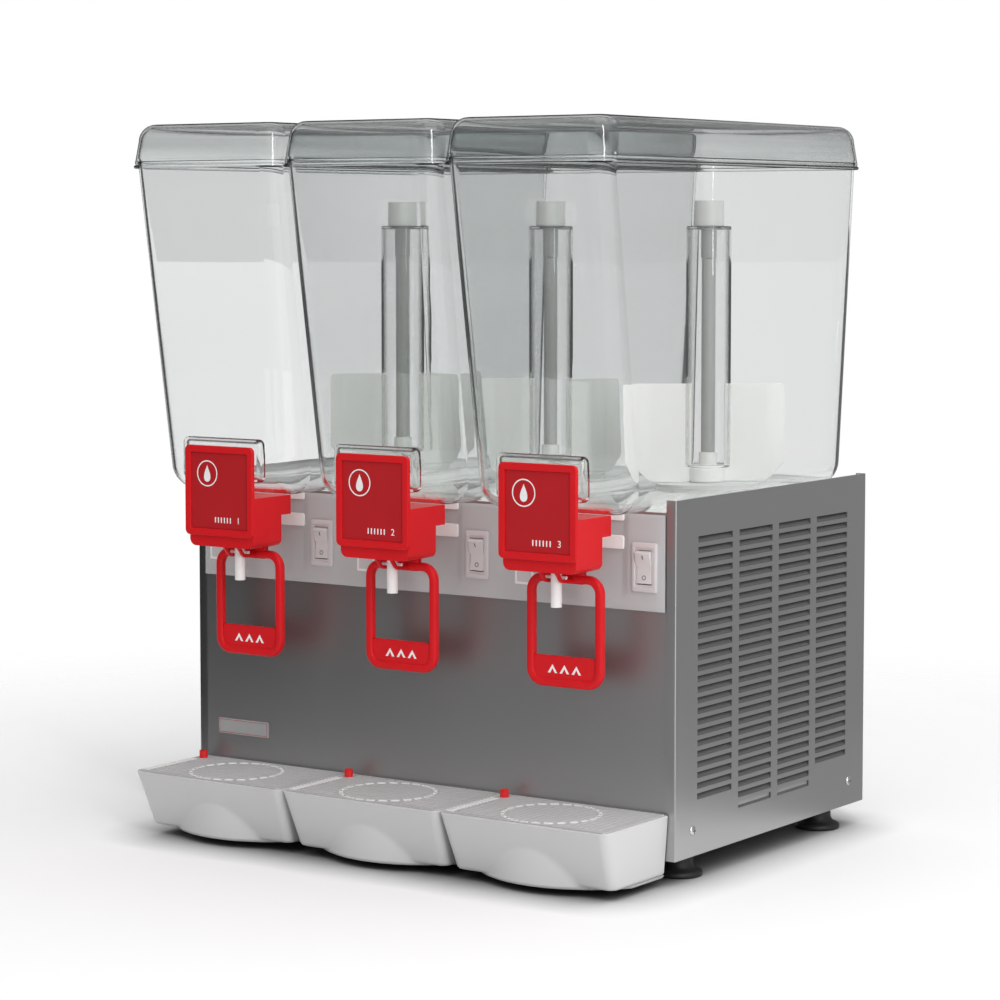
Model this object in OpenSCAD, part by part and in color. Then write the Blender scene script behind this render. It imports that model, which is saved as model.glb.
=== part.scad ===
// Refrigerated drink dispenser: three clear tanks on a steel cabinet, with push taps and drip trays.
// Working frame: x across, y = 0 at the cabinet's front face and growing to the rear, z = 0 at the floor.

/* [Cabinet] */
// Depth of the side panels, front to rear
cab_d = 350; // [320:1:400]
// Height of the side panels
panel_h = 317; // [300:1:360]
// Thickness of the sheet steel
sheet_t = 1.5; // [1:0.1:2]
// Width of the side panels' folded front and rear flanges
flange_w = 10; // [6:0.5:14]
// Depth of the deck below the side panels' top edges
deck_drop = 11; // [8:0.5:14]
// Height of the base pan's upstands
upstand_h = 40; // [36:1:50]
// Distance from the outer channels to the cabinet's sides
cab_margin = 3; // [0:0.5:8]
// Gap between neighbouring lids
lid_gap = 1.6; // [1.6:0.2:12]

/* [Feet] */
// Height of the feet
foot_h = 22; // [16:1:40]
// Radius of a foot's base disc
foot_base_r = 21; // [16:0.5:24]
// Radius of a foot's post
foot_post_r = 12; // [8:0.5:14]
// Thickness of a foot's base disc
foot_base_t = 7; // [4:0.5:10]
// Distance of a foot's centre from the cabinet's side
foot_inset_x = 24; // [22:1:60]
// Distance of a foot's centre from the front and rear of the cabinet
foot_inset_y = 47; // [30:1:80]

/* [Side louvres] */
// Length of a louvre slot
louvre_w = 60; // [50:1:65]
// Height of a louvre slot
louvre_h = 4.6; // [3:0.1:6]
// Distance between rows of louvres
louvre_pitch = 9.5; // [8:0.1:10]
// Distance between columns of louvres
louvre_col_pitch = 71.8; // [67:0.2:76]
// Distance from the panel's top edge to the first row
louvre_top_drop = 34; // [28:1:44]
// Rows in the two outer columns
louvre_rows_outer = 25; // [10:1:26]
// Rows in the two inner columns
louvre_rows_inner = 27; // [10:1:27]

/* [Screws] */
// Radius of a panel screw's head
screw_head_r = 4.6; // [3:0.1:6]
// Height of a panel screw's domed head
screw_head_h = 2.2; // [1.5:0.1:3]
// Radius of a panel screw's shank
screw_r = 2; // [1.5:0.1:2.5]
// Distance of the panel screws from the panel's front and rear edges
screw_inset = 30; // [20:1:40]
// Height of the panel screws above the panel's lower edge
screw_rise = 23; // [12:1:30]

/* [Tank] */
// Outside width of a tank at its rim
tank_w_top = 168; // [164:1:180]
// Outside width of a tank at its floor
tank_w_bottom = 162; // [150:1:166]
// Height of a tank from its floor to its rim
tank_h = 308; // [260:1:380]
// Reach of the tank's rim in front of the cabinet
tank_front_top = 102; // [94:1:112]
// Reach of the tank's floor in front of the cabinet
tank_front_bottom = 67; // [60:1:68]
// Distance from the tank's rim to the rear of the cabinet
tank_rear_top = 2; // [2:1:20]
// Distance from the tank's floor to the rear of the cabinet
tank_rear_bottom = 16; // [12:1:40]
// Wall thickness of a tank
tank_wall = 3; // [2:0.1:4]
// Radius of a tank's upright corners at the rim
corner_r = 16; // [10:0.5:24]
// Radius of the round between a tank's floor and its walls
bottom_r = 25; // [18:0.5:30]

/* [Lid] */
// Height of a lid
lid_h = 41; // [30:1:60]
// Overlap of a lid's skirt over the tank's rim
lid_skirt = 7; // [4:0.5:12]
// Wall thickness of a lid
lid_wall = 2.2; // [1.5:0.1:3]
// Outward step from a lid's skirt to its bead and sides
lid_bead = 1.6; // [1.5:0.1:3]
// Width of the lid's seat on the tank's rim
lid_seat = 2.5; // [1.5:0.1:2.8]
// Gap between a lid's skirt and the tank's rim
lid_clear = 0.4; // [0.3:0.05:0.8]
// Radius of the round along a lid's top edge
lid_round = 16; // [8:0.5:20]
// Lean of a lid's sides over its height
lid_draft = 2; // [0:0.5:4]

/* [Outlet] */
// Width of the clear outlet chamber on a tank's front
chamber_w = 93; // [88:1:110]
// Height of the outlet chamber
chamber_h = 40; // [36:1:60]
// Height of the outlet chamber above the tank's floor
chamber_rise = 12; // [9:0.5:13]
// Reach of the outlet chamber and the tap in front of the cabinet
tap_reach = 76; // [74:0.5:84]
// Outside radius of the outlet neck
neck_r = 12.5; // [11.5:0.1:13]
// Bore radius of the outlet neck
neck_bore_r = 9.2; // [8.5:0.1:9.5]
// Length of the outlet neck below the tank's floor
neck_drop = 16; // [12:0.5:18]
// Thickness of the valve seat at the neck's lower end
seat_t = 2; // [1.5:0.1:3]
// Radius of the hole in the valve seat
seat_hole_r = 6; // [5.7:0.05:6.1]

/* [Tap body] */
// Width of the tap body
tap_w = 76; // [66:1:80]
// Height of the tap body
tap_h = 47; // [46:0.5:54]
// Gap between the tap body and the tank's floor
tap_gap = 3; // [2:0.5:5]
// Depth of the tap body, front to rear
tap_d = 42; // [42:0.5:46]
// Depth of the tap body's rear flange
tap_flange_d = 14; // [8:0.5:16]
// Height of the tap body's rear flange
tap_flange_h = 18; // [12:0.5:20]
// Radius of the tap body's lower corners
tap_corner_r = 7; // [3:0.5:10]
// Height of the recess that the lever rises into
tap_recess_h = 9; // [8.5:0.5:12]
// Wall beside the tap body's recess
tap_side_wall = 4; // [3:0.5:5]
// Gap between the outlet neck and its socket in the tap body
neck_clear = 0.2; // [0.1:0.05:0.3]
// Radius of the spring chamber
spring_room_r = 8.3; // [8.1:0.05:8.5]
// Thickness of the floor under the spring chamber
tap_floor_t = 4; // [3:0.5:5]

/* [Tap cover] */
// Width of the tap's front cover
cover_w = 81; // [78:1:92]
// Height of the tap's front cover
cover_h = 84; // [74:1:86]
// Thickness of the front cover at its border
cover_t = 4; // [3:0.5:6]
// Width of the front cover's raised border
cover_border = 6; // [3:0.5:10]
// Depth of the panel inside the border
cover_recess = 1.5; // [0.5:0.1:2]
// Corner radius of the front cover
cover_corner_r = 5; // [2:0.5:10]
// Distance from the outlet chamber's top to the front cover's top
cover_drop = 7.5; // [4:0.5:12]

/* [Piston] */
// Distance of the piston's axis in front of the cabinet
piston_reach = 49; // [48.5:0.5:50]
// Outside diameter of the piston's spout
spout_d = 9.8; // [9.8:0.1:10.6]
// Bore of the spout
spout_bore_d = 7; // [5:0.1:7.6]
// Length of the spout below the tap body
spout_drop = 33; // [24:1:44]
// Radius of the valve head
head_r = 8.7; // [8.2:0.05:8.75]
// Height of the valve head
head_h = 6; // [4:0.5:9]
// Radius of the collar under the spring
collar_r = 7.8; // [7.4:0.05:7.85]
// Height of the collar under the spring
collar_h = 2; // [1:0.1:3]
// Radius of the pin that the lever lifts
lift_pin_r = 1.5; // [1:0.1:1.8]
// Running clearance of the piston and the lever's pin, on radius
run_clear = 0.05; // [0.02:0.01:0.1]
// Gap left between pieces that move past each other
move_gap = 0.3; // [0.25:0.05:0.4]

/* [Spring] */
// Wire diameter of the piston spring
wire_d = 1.2; // [0.8:0.1:1.2]
// Mean radius of the piston spring
spring_r = 6.6; // [6.3:0.05:6.7]
// Turns of the piston spring
spring_turns = 8; // [5:1:10]

/* [Lever] */
// Outside width of the lever's loop
loop_w = 80; // [60:1:90]
// Outside height of the lever's loop
loop_h = 101; // [80:1:110]
// Diameter of the loop's bar
bar_d = 8.4; // [6:0.1:9]
// Radius of the loop's corners, to the bar's centre
loop_corner_r = 12; // [8:0.5:18]
// Height of the push pad across the lower end of the loop
pad_h = 28; // [18:1:40]
// Thickness of the push pad
pad_t = 4; // [2.5:0.5:6]
// Distance of the loop in front of the cabinet
loop_reach = 34; // [32:0.5:35]
// Gap between the loop's top and the tap body
loop_gap = 5; // [4:0.5:8]
// Distance of the lever's pivot in front of the piston's axis
pivot_lead = 19; // [18:0.5:19.5]
// Height of the lever's pivot above the tap body's lower face
pivot_rise = 7; // [6.5:0.5:8]
// Radius of the pivot pin
pivot_r = 2; // [1.5:0.1:2.4]
// Radius of the lever's pivot bosses
boss_r = 4.5; // [4:0.1:4.8]
// Thickness of each fork arm
arm_t = 5; // [3:0.5:6]
// Height of each fork arm
arm_h = 6.5; // [5:0.5:7]
// Distance from the loop's top down to the fork arms' upper faces
arm_drop = 3.5; // [3:0.1:4.5]
// Gap between the spout and a fork arm
arm_gap = 1.7; // [1:0.1:2.5]
// Width of the web behind the spout
web_w = 40; // [32:1:56]
// Thickness of the web behind the spout
web_t = 6; // [4:0.5:7]

/* [Fascia and switches] */
// Height of the fascia strip
fascia_h = 85; // [76:1:110]
// Thickness of the fascia strip
fascia_t = 3; // [2:0.5:5]
// Gap between the fascia's top and the deck
fascia_gap = 2; // [1:0.5:6]
// Width of the notch behind each tap
notch_w = 80; // [60:1:86]
// Height of the notch behind each tap
notch_h = 32; // [20:1:40]
// Height of the ledge inside the notch
ledge_h = 12; // [8:1:16]
// Thickness of the ledge inside the notch
ledge_t = 2; // [1:0.5:2]
// Width of a switch bezel
bezel_w = 26.5; // [24:0.5:30]
// Height of a switch bezel
bezel_h = 39; // [37:0.5:46]
// Thickness of a switch bezel
bezel_t = 2; // [1:0.5:4]
// Width of a rocker
rocker_w = 15; // [12:0.5:16]
// Length of a rocker
rocker_l = 30; // [26:0.5:31]
// Tilt of a rocker to each side, in degrees
rocker_tilt = 8; // [4:1:10]
// Depth of a switch housing behind the fascia
switch_d = 22; // [18:1:30]
// Distance of a switch from its tap's axis
switch_x = 62; // [56:1:68]
// Height of a switch's centre above the fascia's lower edge
switch_rise = 38.5; // [30:0.5:50]

/* [Drip trays] */
// Width of a drip tray at its rim
tray_w = 175; // [160:1:178]
// Gap between neighbouring trays
tray_gap = 1.5; // [1:0.5:6]
// Reach of a tray's rim in front of the cabinet
tray_reach = 104; // [96:1:130]
// Height of a tray's rim above the floor
tray_rim_z = 63; // [56:1:80]
// Height of a tray's lower edge above the floor
tray_low_z = 12; // [9:0.5:16]
// Lean of a tray's front face
tray_lean = 17; // [6:1:24]
// Lean of a tray's side faces
tray_side_lean = 4; // [1:0.5:8]
// Wall thickness of a tray
tray_wall = 2.5; // [1.5:0.1:3.5]
// Radius of a tray's round basin
basin_r = 79; // [70:0.5:82]
// Distance of the basin's axis in front of the cabinet
basin_reach = 16.5; // [14:0.5:22]
// Height of the basin's underside above the floor
basin_low_z = 6.5; // [3:0.5:8]
// Gap between a tray and the cabinet's front
tray_back_gap = 0.5; // [0.3:0.1:0.8]
// Width of a tray's hanging tabs
tab_w = 14; // [8:1:20]
// Thickness of a tray's hanging tabs
tab_t = 4; // [3:0.5:6]
// Reach of a tray's hanging tabs behind the cabinet's front
tab_reach = 7; // [5:0.5:12]
// Distance of the hanging tabs from the tray's middle
tab_x = 70; // [40:1:74]

/* [Drip grids] */
// Thickness of a drip grid
grid_t = 3; // [2:0.5:5]
// Gap around a drip grid
grid_gap = 0.5; // [0.3:0.1:1]
// Height of a drip grid above the tray's rim
grid_proud = 1; // [0.5:0.5:2]
// Width of the ledge that a drip grid rests on
grid_ledge = 4; // [3:0.5:6]
// Radius of the ring of drain slots
ring_r = 43; // [25:0.5:43]
// Distance of the ring of drain slots in front of the cabinet
ring_reach = 56; // [50:0.5:56]
// Drain slots in the ring
ring_slots = 24; // [12:2:28]
// Length of a drain slot
drain_l = 7; // [4:0.5:8]
// Width of a drain slot
drain_w = 2.4; // [1:0.1:2.6]
// Drain slots along the grid's left edge
edge_slots = 7; // [4:1:7]

/* [Float] */
// Radius of the float's red peg
peg_r = 4; // [3:0.1:4.2]
// Height of the peg above the grid
peg_proud = 7; // [4:0.5:12]
// Distance of the peg from the tray's left side
peg_inset = 11.5; // [11.5:0.5:12.5]
// Distance of the peg in front of the cabinet
peg_reach = 16; // [14:0.5:18]
// Side length of the float block
float_w = 18; // [16:0.5:22]
// Height of the float block
float_h = 8; // [5:0.5:12]
// Depth of the float block's top below the grid
float_drop = 11; // [10:0.5:14]

/* [Cooling column] */
// Distance of the column's axis from the rear of the cabinet
column_setback = 145; // [140:1:160]
// Radius of the evaporator dish
dish_r = 48; // [40:0.5:52]
// Rise of the evaporator dish above the deck
dish_rise = 7.7; // [6.5:0.1:8]
// Depth of the evaporator below the deck
dish_depth = 10; // [8:0.5:14]
// Width of the evaporator's flange under the deck
dish_flange = 9; // [5:0.5:12]
// Thickness of the tank's ring gasket
gasket_t = 1.2; // [0.8:0.1:2]
// Outside radius of the chimney
chimney_r = 6.5; // [5.8:0.1:7]
// Bore radius of the chimney
chimney_bore_r = 4.5; // [4.2:0.1:5]
// Length of the shaft's bearing at the chimney's top
bearing_l = 20; // [10:1:40]
// Radius of the drive shaft
shaft_r = 3.5; // [2.5:0.1:3.8]
// Side length of the drive shaft's square end
shaft_square = 4.6; // [3:0.1:4.8]
// Depth of the drive shaft's square end in the agitator's cap
shaft_square_l = 16; // [10:1:18]
// Depth of the drive shaft in its gearbox
shaft_depth = 18; // [10:1:24]

/* [Agitator] */
// Outside radius of the clear tube
tube_r = 21; // [18:0.5:24]
// Wall thickness of the clear tube
tube_wall = 2; // [1.5:0.1:3]
// Distance from the tank's rim down to the top of the agitator's cap
cap_headroom = 36; // [25:1:60]
// Height of the agitator's cap
cap_h = 24; // [22:1:32]
// Radius of the agitator's cap
cap_r = 15; // [12:0.5:18]
// Height of the step under the agitator's cap
cap_step_h = 4; // [2:0.5:6]
// Width of the step under the agitator's cap
cap_step_w = 3; // [1:0.5:4]
// Outside radius of the sleeve under the agitator's cap
sleeve_r = 7.5; // [6:0.1:8]
// Length of the sleeve under the agitator's cap
sleeve_l = 30; // [16:1:40]
// Radius of the agitator's hub
hub_r = 16.5; // [13:0.5:18]
// Height of the agitator's hub
hub_h = 15; // [12:0.5:20]
// Radius of the hub's neck
hub_neck_r = 8.5; // [8:0.1:9]
// Height of the hub's neck
hub_neck_h = 14; // [8:0.5:24]
// Height of the paddle blades
blade_h = 93; // [60:1:140]
// Thickness of the paddle blades
blade_t = 2.5; // [1.5:0.1:4]
// Gap between the paddle blades and the tank's sides
blade_gap = 4; // [3:0.5:10]
// Width of the bent strip at each blade's outer edge
blade_tip_w = 15; // [8:0.5:24]
// Bend of that strip, in degrees
blade_bend = 25; // [0:1:40]
// Size of the slant cut at each blade's lower outer corner
blade_cut = 20; // [10:1:26]
// Turn of the blades about the column, in degrees
blade_turn = 34.6; // [0:0.2:60]

/* [Drive motors] */
// Side length of a gearbox
gearbox_w = 70; // [56:1:90]
// Height of a gearbox
gearbox_h = 34; // [28:1:44]
// Radius of a drive motor
motor_r = 25; // [18:0.5:32]
// Height of a drive motor
motor_h = 48; // [30:1:54]

/* [Refrigeration] */
// Radius of the compressor's shell
comp_r = 68; // [50:1:76]
// Height of the compressor's shell
comp_h = 150; // [110:1:160]
// Distance of the compressor's axis left of the middle
comp_x = 150; // [130:1:170]
// Distance of the compressor's axis behind the column's axis
comp_back = 20; // [10:1:40]
// Thickness of the compressor's mounting plate
comp_plate_t = 5; // [3:0.5:8]
// Radius of the suction pipe
pipe_r = 5; // [3:0.5:6]
// Distance of the suction pipe behind the column's axis
pipe_back = 45; // [42:1:50]
// Width of the condenser
cond_w = 190; // [140:1:200]
// Depth of the condenser
cond_d = 36; // [24:1:44]
// Height of the condenser
cond_h = 180; // [140:1:184]
// Distance of the condenser behind the cabinet's front
cond_y = 55; // [40:1:60]
// Distance of the condenser's middle from the cabinet's middle
cond_x = 120; // [100:1:130]
// Fins of the condenser
cond_fins = 20; // [10:1:26]
// Thickness of a condenser fin
fin_t = 1; // [0.6:0.1:1.5]
// Radius of a condenser tube
cond_tube_r = 4; // [3:0.5:5]
// Radius of the fan
fan_r = 76; // [56:1:80]
// Depth of the fan's hub
fan_hub_l = 22; // [18:1:26]
// Radius of the fan's hub
fan_hub_r = 18; // [14:0.5:24]
// Radius of the fan motor's shaft
fan_shaft_r = 3; // [2:0.1:4]
// Gap between the condenser and the fan
fan_gap = 12; // [8:1:16]
// Radius of the fan motor
fan_motor_r = 30; // [24:1:40]
// Depth of the fan motor
fan_motor_l = 46; // [30:1:60]

/* [Rear] */
// Reach of the cable gland behind the cabinet
gland_reach = 8; // [4:0.5:12]
// Radius of the cable gland's flange
gland_r = 11; // [8:0.5:14]
// Radius of the cable gland's stem
gland_stem_r = 7.5; // [5:0.5:7.5]
// Bore radius of the cable gland
gland_bore_r = 4.2; // [3:0.1:4.5]
// Height of the cable gland above the base pan
gland_rise = 60; // [50:1:90]
// Rear vent slots
vent_slots = 18; // [8:1:22]
// Height of the rear vent slots
vent_h = 120; // [80:1:130]

/* [Hidden] */
$fn = 48;
hull_fn = 24;
eps = 0.01;
cut = 1;

// Derived places across the width
lid_over = lid_clear + lid_wall + lid_bead;
lid_w = tank_w_top + 2 * lid_over;
channel_pitch = lid_w + lid_gap;
cab_w = 3 * channel_pitch + 2 * cab_margin;
inner_w = cab_w - 2 * sheet_t;
front_w = cab_w - 2 * flange_w;
tray_pitch = tray_w + tray_gap;

// Derived heights
panel_top = foot_h + panel_h;
deck_z = panel_top - deck_drop;
floor_z = foot_h + sheet_t;
tank_top = deck_z + tank_h;
lid_bottom = tank_top - lid_skirt;
lid_top = lid_bottom + lid_h;
chamber_z = deck_z + chamber_rise;
tap_top = deck_z - tap_gap;
tap_bottom = tap_top - tap_h;
neck_bottom = deck_z - neck_drop;
seat_z = neck_bottom + seat_t;
fascia_top = deck_z - fascia_gap;
fascia_low = fascia_top - fascia_h;
notch_z = fascia_top - notch_h;
switch_z = fascia_low + switch_rise;
loop_top = tap_bottom - loop_gap;
pivot_z = tap_bottom + pivot_rise;
cover_top = chamber_z + chamber_h - cover_drop;
grid_top = tray_rim_z + grid_proud;
grid_low = grid_top - grid_t;

// Derived depths
tank_back_top = cab_d - tank_rear_top;
tank_back_bottom = cab_d - tank_rear_bottom;
column_y = cab_d - column_setback;
lid_front = tank_front_top + lid_over;
y_front = -max(tray_reach, lid_front);
y_mid = (y_front + cab_d + gland_reach) / 2;
tap_rear = tap_reach - tap_d;
pivot_reach = piston_reach + pivot_lead;

// Derived column heights
dish_top = deck_z + dish_rise;
hub_z = dish_top + move_gap;
hub_top = hub_z + hub_h;
cap_top = tank_top - cap_headroom;
tube_top = cap_top - cap_h;
shaft_top = tube_top + shaft_square_l;
chimney_top = tube_top - sleeve_l - move_gap;
evap_low = deck_z - sheet_t - dish_depth;
tank_hole_r = dish_r + gasket_t + move_gap;
blade_r = tank_w_bottom / 2 - tank_wall - blade_gap;
hub_bore_r = chimney_r + move_gap;
hub_neck_top = hub_top + hub_neck_h;

// Derived lever and piston places
spout_r = spout_d / 2;
arm_x = spout_r + arm_gap;
arm_top = loop_top - arm_drop;
arm_low = arm_top - arm_h;
lift_pin_z = arm_top + move_gap + lift_pin_r;
collar_z = tap_bottom + tap_floor_t + move_gap;
slot_side = 0.6;
slot_room = 2;
spring_low = collar_z + collar_h + move_gap;
spring_high = neck_bottom - move_gap;

// Derived switch sizes
switch_case_t = 2;
switch_case_w = rocker_w + 2 * (move_gap + switch_case_t);
switch_case_h = rocker_l + 2 * (move_gap + switch_case_t);
rocker_sink = 2;
rocker_y = rocker_sink - fascia_t;
rocker_pin_r = 1.5;
rocker_pin_l = 1.5;

// Derived places of the screws and of the fan
screw_ys = [screw_inset, cab_d - screw_inset];
screw_z = foot_h + screw_rise;
fan_z = floor_z + cond_h / 2;
fan_y = cond_y + cond_d + fan_gap;

// Facets of the piston spring
wire_sides = 6;
steps_per_turn = 10;

// Derived tray sizes
tray_rear = -tray_back_gap;
grid_w = tray_w - 2 * (tray_wall + grid_gap);
grid_front = tray_reach - tray_wall - grid_gap;
grid_rear = tray_back_gap + tray_wall + grid_gap;
tab_drop = 1;
tab_z = tray_rim_z - tab_t - tab_drop;
basin_top_z = grid_low - 13;

// Middle of a channel and of its drip tray, counted 1 to 3 from the left
function channel_x(n) = (n - 2) * channel_pitch;
function tray_x(n) = (n - 2) * tray_pitch;

// Puts the working frame's part of the model over the origin, at the middle of its footprint
module placed() {
    translate([0, -y_mid, 0])
        children();
}

// The same, at one channel
module at_channel(n) {
    placed()
        translate([channel_x(n), 0, 0])
            children();
}

// The same, at one drip tray
module at_tray(n) {
    placed()
        translate([tray_x(n), 0, 0])
            children();
}

// A block between two corners
module block(low, high) {
    translate(low)
        cube(high - low);
}

// An outline in x and z, extruded along y
module plate_y(y0, y1) {
    translate([0, y1, 0])
        rotate([90, 0, 0])
            linear_extrude(y1 - y0)
                children();
}

// An outline in y and z, extruded along x
module plate_x(x0, x1) {
    translate([x0, 0, 0])
        rotate([90, 0, 90])
            linear_extrude(x1 - x0)
                children();
}

// A rectangle with round corners, centred
module rounded(w, h, r) {
    square([w - 2 * r, h], center = true);
    square([w, h - 2 * r], center = true);
    for (sx = [-1, 1], sy = [-1, 1])
        translate([sx * (w / 2 - r), sy * (h / 2 - r)])
            circle(r);
}

// A rod along x, centred
module rod_x(r, l) {
    rotate([0, 90, 0])
        cylinder(r = r, h = l, center = true);
}

// A rod along y from y0 to y1
module rod_y(r, y0, y1) {
    translate([0, y1, 0])
        rotate([90, 0, 0])
            cylinder(r = r, h = y1 - y0);
}

// A half ball that points down, with exact extremes
module half_ball(r) {
    rotate_extrude($fn = hull_fn)
        polygon(concat([[0, 0]], [for (a = [-90 : 360 / hull_fn : 0]) [r * cos(a), r * sin(a)]]));
}

// Places of the four feet
module at_feet() {
    for (sx = [-1, 1], y = [foot_inset_y, cab_d - foot_inset_y])
        translate([sx * (cab_w / 2 - foot_inset_x), y, 0])
            children();
}

// Sheet pan with upstands that carries the panels and the refrigeration
module base_pan() {
    color("#9a9c9e") placed()
        difference() {
            union() {
                block([-inner_w / 2, sheet_t, foot_h], [inner_w / 2, cab_d - sheet_t, floor_z]);
                for (sx = [-1, 1])
                    mirror([sx < 0 ? 1 : 0, 0, 0])
                        block([inner_w / 2 - sheet_t, sheet_t, foot_h],
                              [inner_w / 2, cab_d - sheet_t, foot_h + upstand_h]);
                block([-inner_w / 2, sheet_t, foot_h], [inner_w / 2, 2 * sheet_t, foot_h + upstand_h]);
                block([-inner_w / 2, cab_d - 2 * sheet_t, foot_h],
                      [inner_w / 2, cab_d - sheet_t, foot_h + upstand_h]);
            }
            for (y = screw_ys)
                translate([0, y, screw_z])
                    rod_x(screw_r + run_clear, cab_w + 2 * cut);
            tray_slots();
        }
}

// Openings in the front for the trays' hanging tabs
module tray_slots() {
    for (n = [1 : 3], sx = [-1, 1])
        translate([tray_x(n) + sx * tab_x, 0, tab_z - move_gap])
            block([-tab_w / 2 - move_gap, -cut, 0],
                  [tab_w / 2 + move_gap, 2 * sheet_t + cut, tab_t + 2 * move_gap]);
}

// Columns of louvre slots, as an outline in y and z
module louvre_slots() {
    first = cab_d / 2 - 1.5 * louvre_col_pitch - louvre_w / 2;
    for (col = [0 : 3])
        for (row = [1 : (col == 0 || col == 3) ? louvre_rows_outer : louvre_rows_inner])
            translate([first + col * louvre_col_pitch,
                       panel_top - louvre_top_drop - (row - 1) * louvre_pitch - louvre_h])
                square([louvre_w, louvre_h]);
}

// One side panel: louvred sheet with folded front and rear flanges
module side_panel(right) {
    color("#8b8d8f") placed()
        mirror([right ? 0 : 1, 0, 0]) {
            plate_x(cab_w / 2 - sheet_t, cab_w / 2)
                difference() {
                    translate([0, foot_h])
                        square([cab_d, panel_h]);
                    louvre_slots();
                    for (y = screw_ys)
                        translate([y, screw_z])
                            circle(screw_r + run_clear);
                }
            for (y = [0, cab_d - sheet_t])
                block([cab_w / 2 - flange_w, y, foot_h], [cab_w / 2 - sheet_t + eps, y + sheet_t, panel_top]);
        }
}

// Openings for the switch housings, through the front
module switch_holes() {
    for (n = [1 : 3])
        translate([channel_x(n) + switch_x, 0, switch_z])
            block([-switch_case_w / 2, -fascia_t - cut, -switch_case_h / 2],
                  [switch_case_w / 2, sheet_t + cut, switch_case_h / 2]);
}

// Front sheet between the side panels' flanges
module front_panel() {
    color("#6f7174") placed()
        difference() {
            block([-front_w / 2, 0, foot_h], [front_w / 2, sheet_t, deck_z]);
            switch_holes();
            tray_slots();
        }
}

// Rear sheet with vent slots and the hole for the cable gland
module rear_panel() {
    vent_w = 6;
    vent_pitch = 12;
    vent_rise = 20;
    vent_x = cond_x - (vent_slots - 1) * vent_pitch / 2;
    color("#85878a") placed()
        difference() {
            block([-front_w / 2, cab_d - sheet_t, foot_h], [front_w / 2, cab_d, deck_z]);
            for (k = [0 : vent_slots - 1])
                translate([vent_x + k * vent_pitch, cab_d, floor_z + upstand_h + vent_rise])
                    block([-vent_w / 2, -sheet_t - cut, 0], [vent_w / 2, cut, vent_h]);
            translate([-comp_x, 0, floor_z + gland_rise])
                rod_y(gland_stem_r + run_clear, cab_d - sheet_t - cut, cab_d + cut);
        }
}

// Deck that carries the tanks, open around each evaporator
module top_deck() {
    lip = 12;
    color("#e4e5e6") placed() {
        difference() {
            block([-inner_w / 2, sheet_t, deck_z - sheet_t], [inner_w / 2, cab_d - sheet_t, deck_z]);
            for (n = [1 : 3])
                translate([channel_x(n), column_y, 0])
                    cylinder_from(dish_r + move_gap, deck_z - sheet_t - cut, deck_z + cut);
        }
        for (y = [sheet_t, cab_d - 2 * sheet_t])
            block([-front_w / 2, y, deck_z - sheet_t - lip],
                  [front_w / 2, y + sheet_t, deck_z - sheet_t + eps]);
    }
}

// Strip along the upper front, notched behind each tap, with a ledge in each notch
module fascia_strip() {
    color("#b9b3b6") placed()
        difference() {
            union() {
                plate_y(-fascia_t, 0)
                    difference() {
                        translate([-front_w / 2, fascia_low])
                            square([front_w, fascia_h]);
                        for (n = [1 : 3])
                            translate([channel_x(n) - notch_w / 2, notch_z])
                                square([notch_w, notch_h + cut]);
                    }
                for (n = [1 : 3])
                    translate([channel_x(n), 0, 0])
                        block([-notch_w / 2 - eps, -ledge_t, notch_z - eps],
                              [notch_w / 2 + eps, 0, notch_z + ledge_h]);
            }
            switch_holes();
        }
}

// Four black feet
module feet() {
    color("#161616") placed() at_feet() {
        cylinder(r = foot_base_r, h = foot_base_t);
        cylinder(r = foot_post_r, h = foot_h);
    }
}

// Domed screws that hold the side panels to the base pan
module panel_screws() {
    dome_r = (screw_head_r * screw_head_r + screw_head_h * screw_head_h) / (2 * screw_head_h);
    shank_l = 2 * sheet_t;
    color("#c8c8c8") placed()
        for (right = [0, 1], y = screw_ys)
            mirror([right ? 0 : 1, 0, 0])
                translate([cab_w / 2, y, screw_z])
                    rotate([0, 90, 0]) {
                        translate([0, 0, -shank_l])
                            cylinder(r = screw_r, h = shank_l + eps);
                        intersection() {
                            translate([0, 0, screw_head_h - dome_r])
                                sphere(dome_r);
                            cylinder(r = screw_head_r, h = screw_head_h + cut);
                        }
                    }
}

// Hermetic compressor on its plate
module compressor() {
    shell_round = 22;
    plate_half = [comp_r + 7, comp_r - 17];
    color("#202224") placed()
        translate([-comp_x, column_y + comp_back, floor_z]) {
            block([-plate_half[0], -plate_half[1], 0], [plate_half[0], plate_half[1], comp_plate_t]);
            rotate_extrude() {
                translate([0, comp_plate_t - eps])
                    square([comp_r, comp_h - comp_plate_t - shell_round]);
                square([comp_r - shell_round, comp_h]);
                translate([comp_r - shell_round, comp_h - shell_round])
                    intersection() {
                        circle(shell_round);
                        square(shell_round);
                    }
            }
        }
}

// Finned condenser that stands on the base pan
module condenser() {
    end_t = 4;
    tube_rows = 6;
    fin_inset = [0, 1, 2];
    pitch = (cond_w - end_t) / (cond_fins - 1);
    color("#a9adb0") placed()
        translate([cond_x, cond_y, floor_z]) {
            for (sx = [-1, 1])
                translate([sx * (cond_w - end_t) / 2, 0, 0])
                    block([-end_t / 2, 0, 0], [end_t / 2, cond_d, cond_h]);
            for (k = [1 : cond_fins - 2])
                translate([k * pitch - (cond_w - end_t) / 2, 0, 0])
                    block([-fin_t / 2, 0, 0] + fin_inset, [fin_t / 2, cond_d, cond_h] - fin_inset);
            for (k = [0 : tube_rows - 1])
                translate([0, cond_d / 2, cond_h * (k + 0.5) / tube_rows])
                    rod_x(cond_tube_r, cond_w);
        }
}

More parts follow.
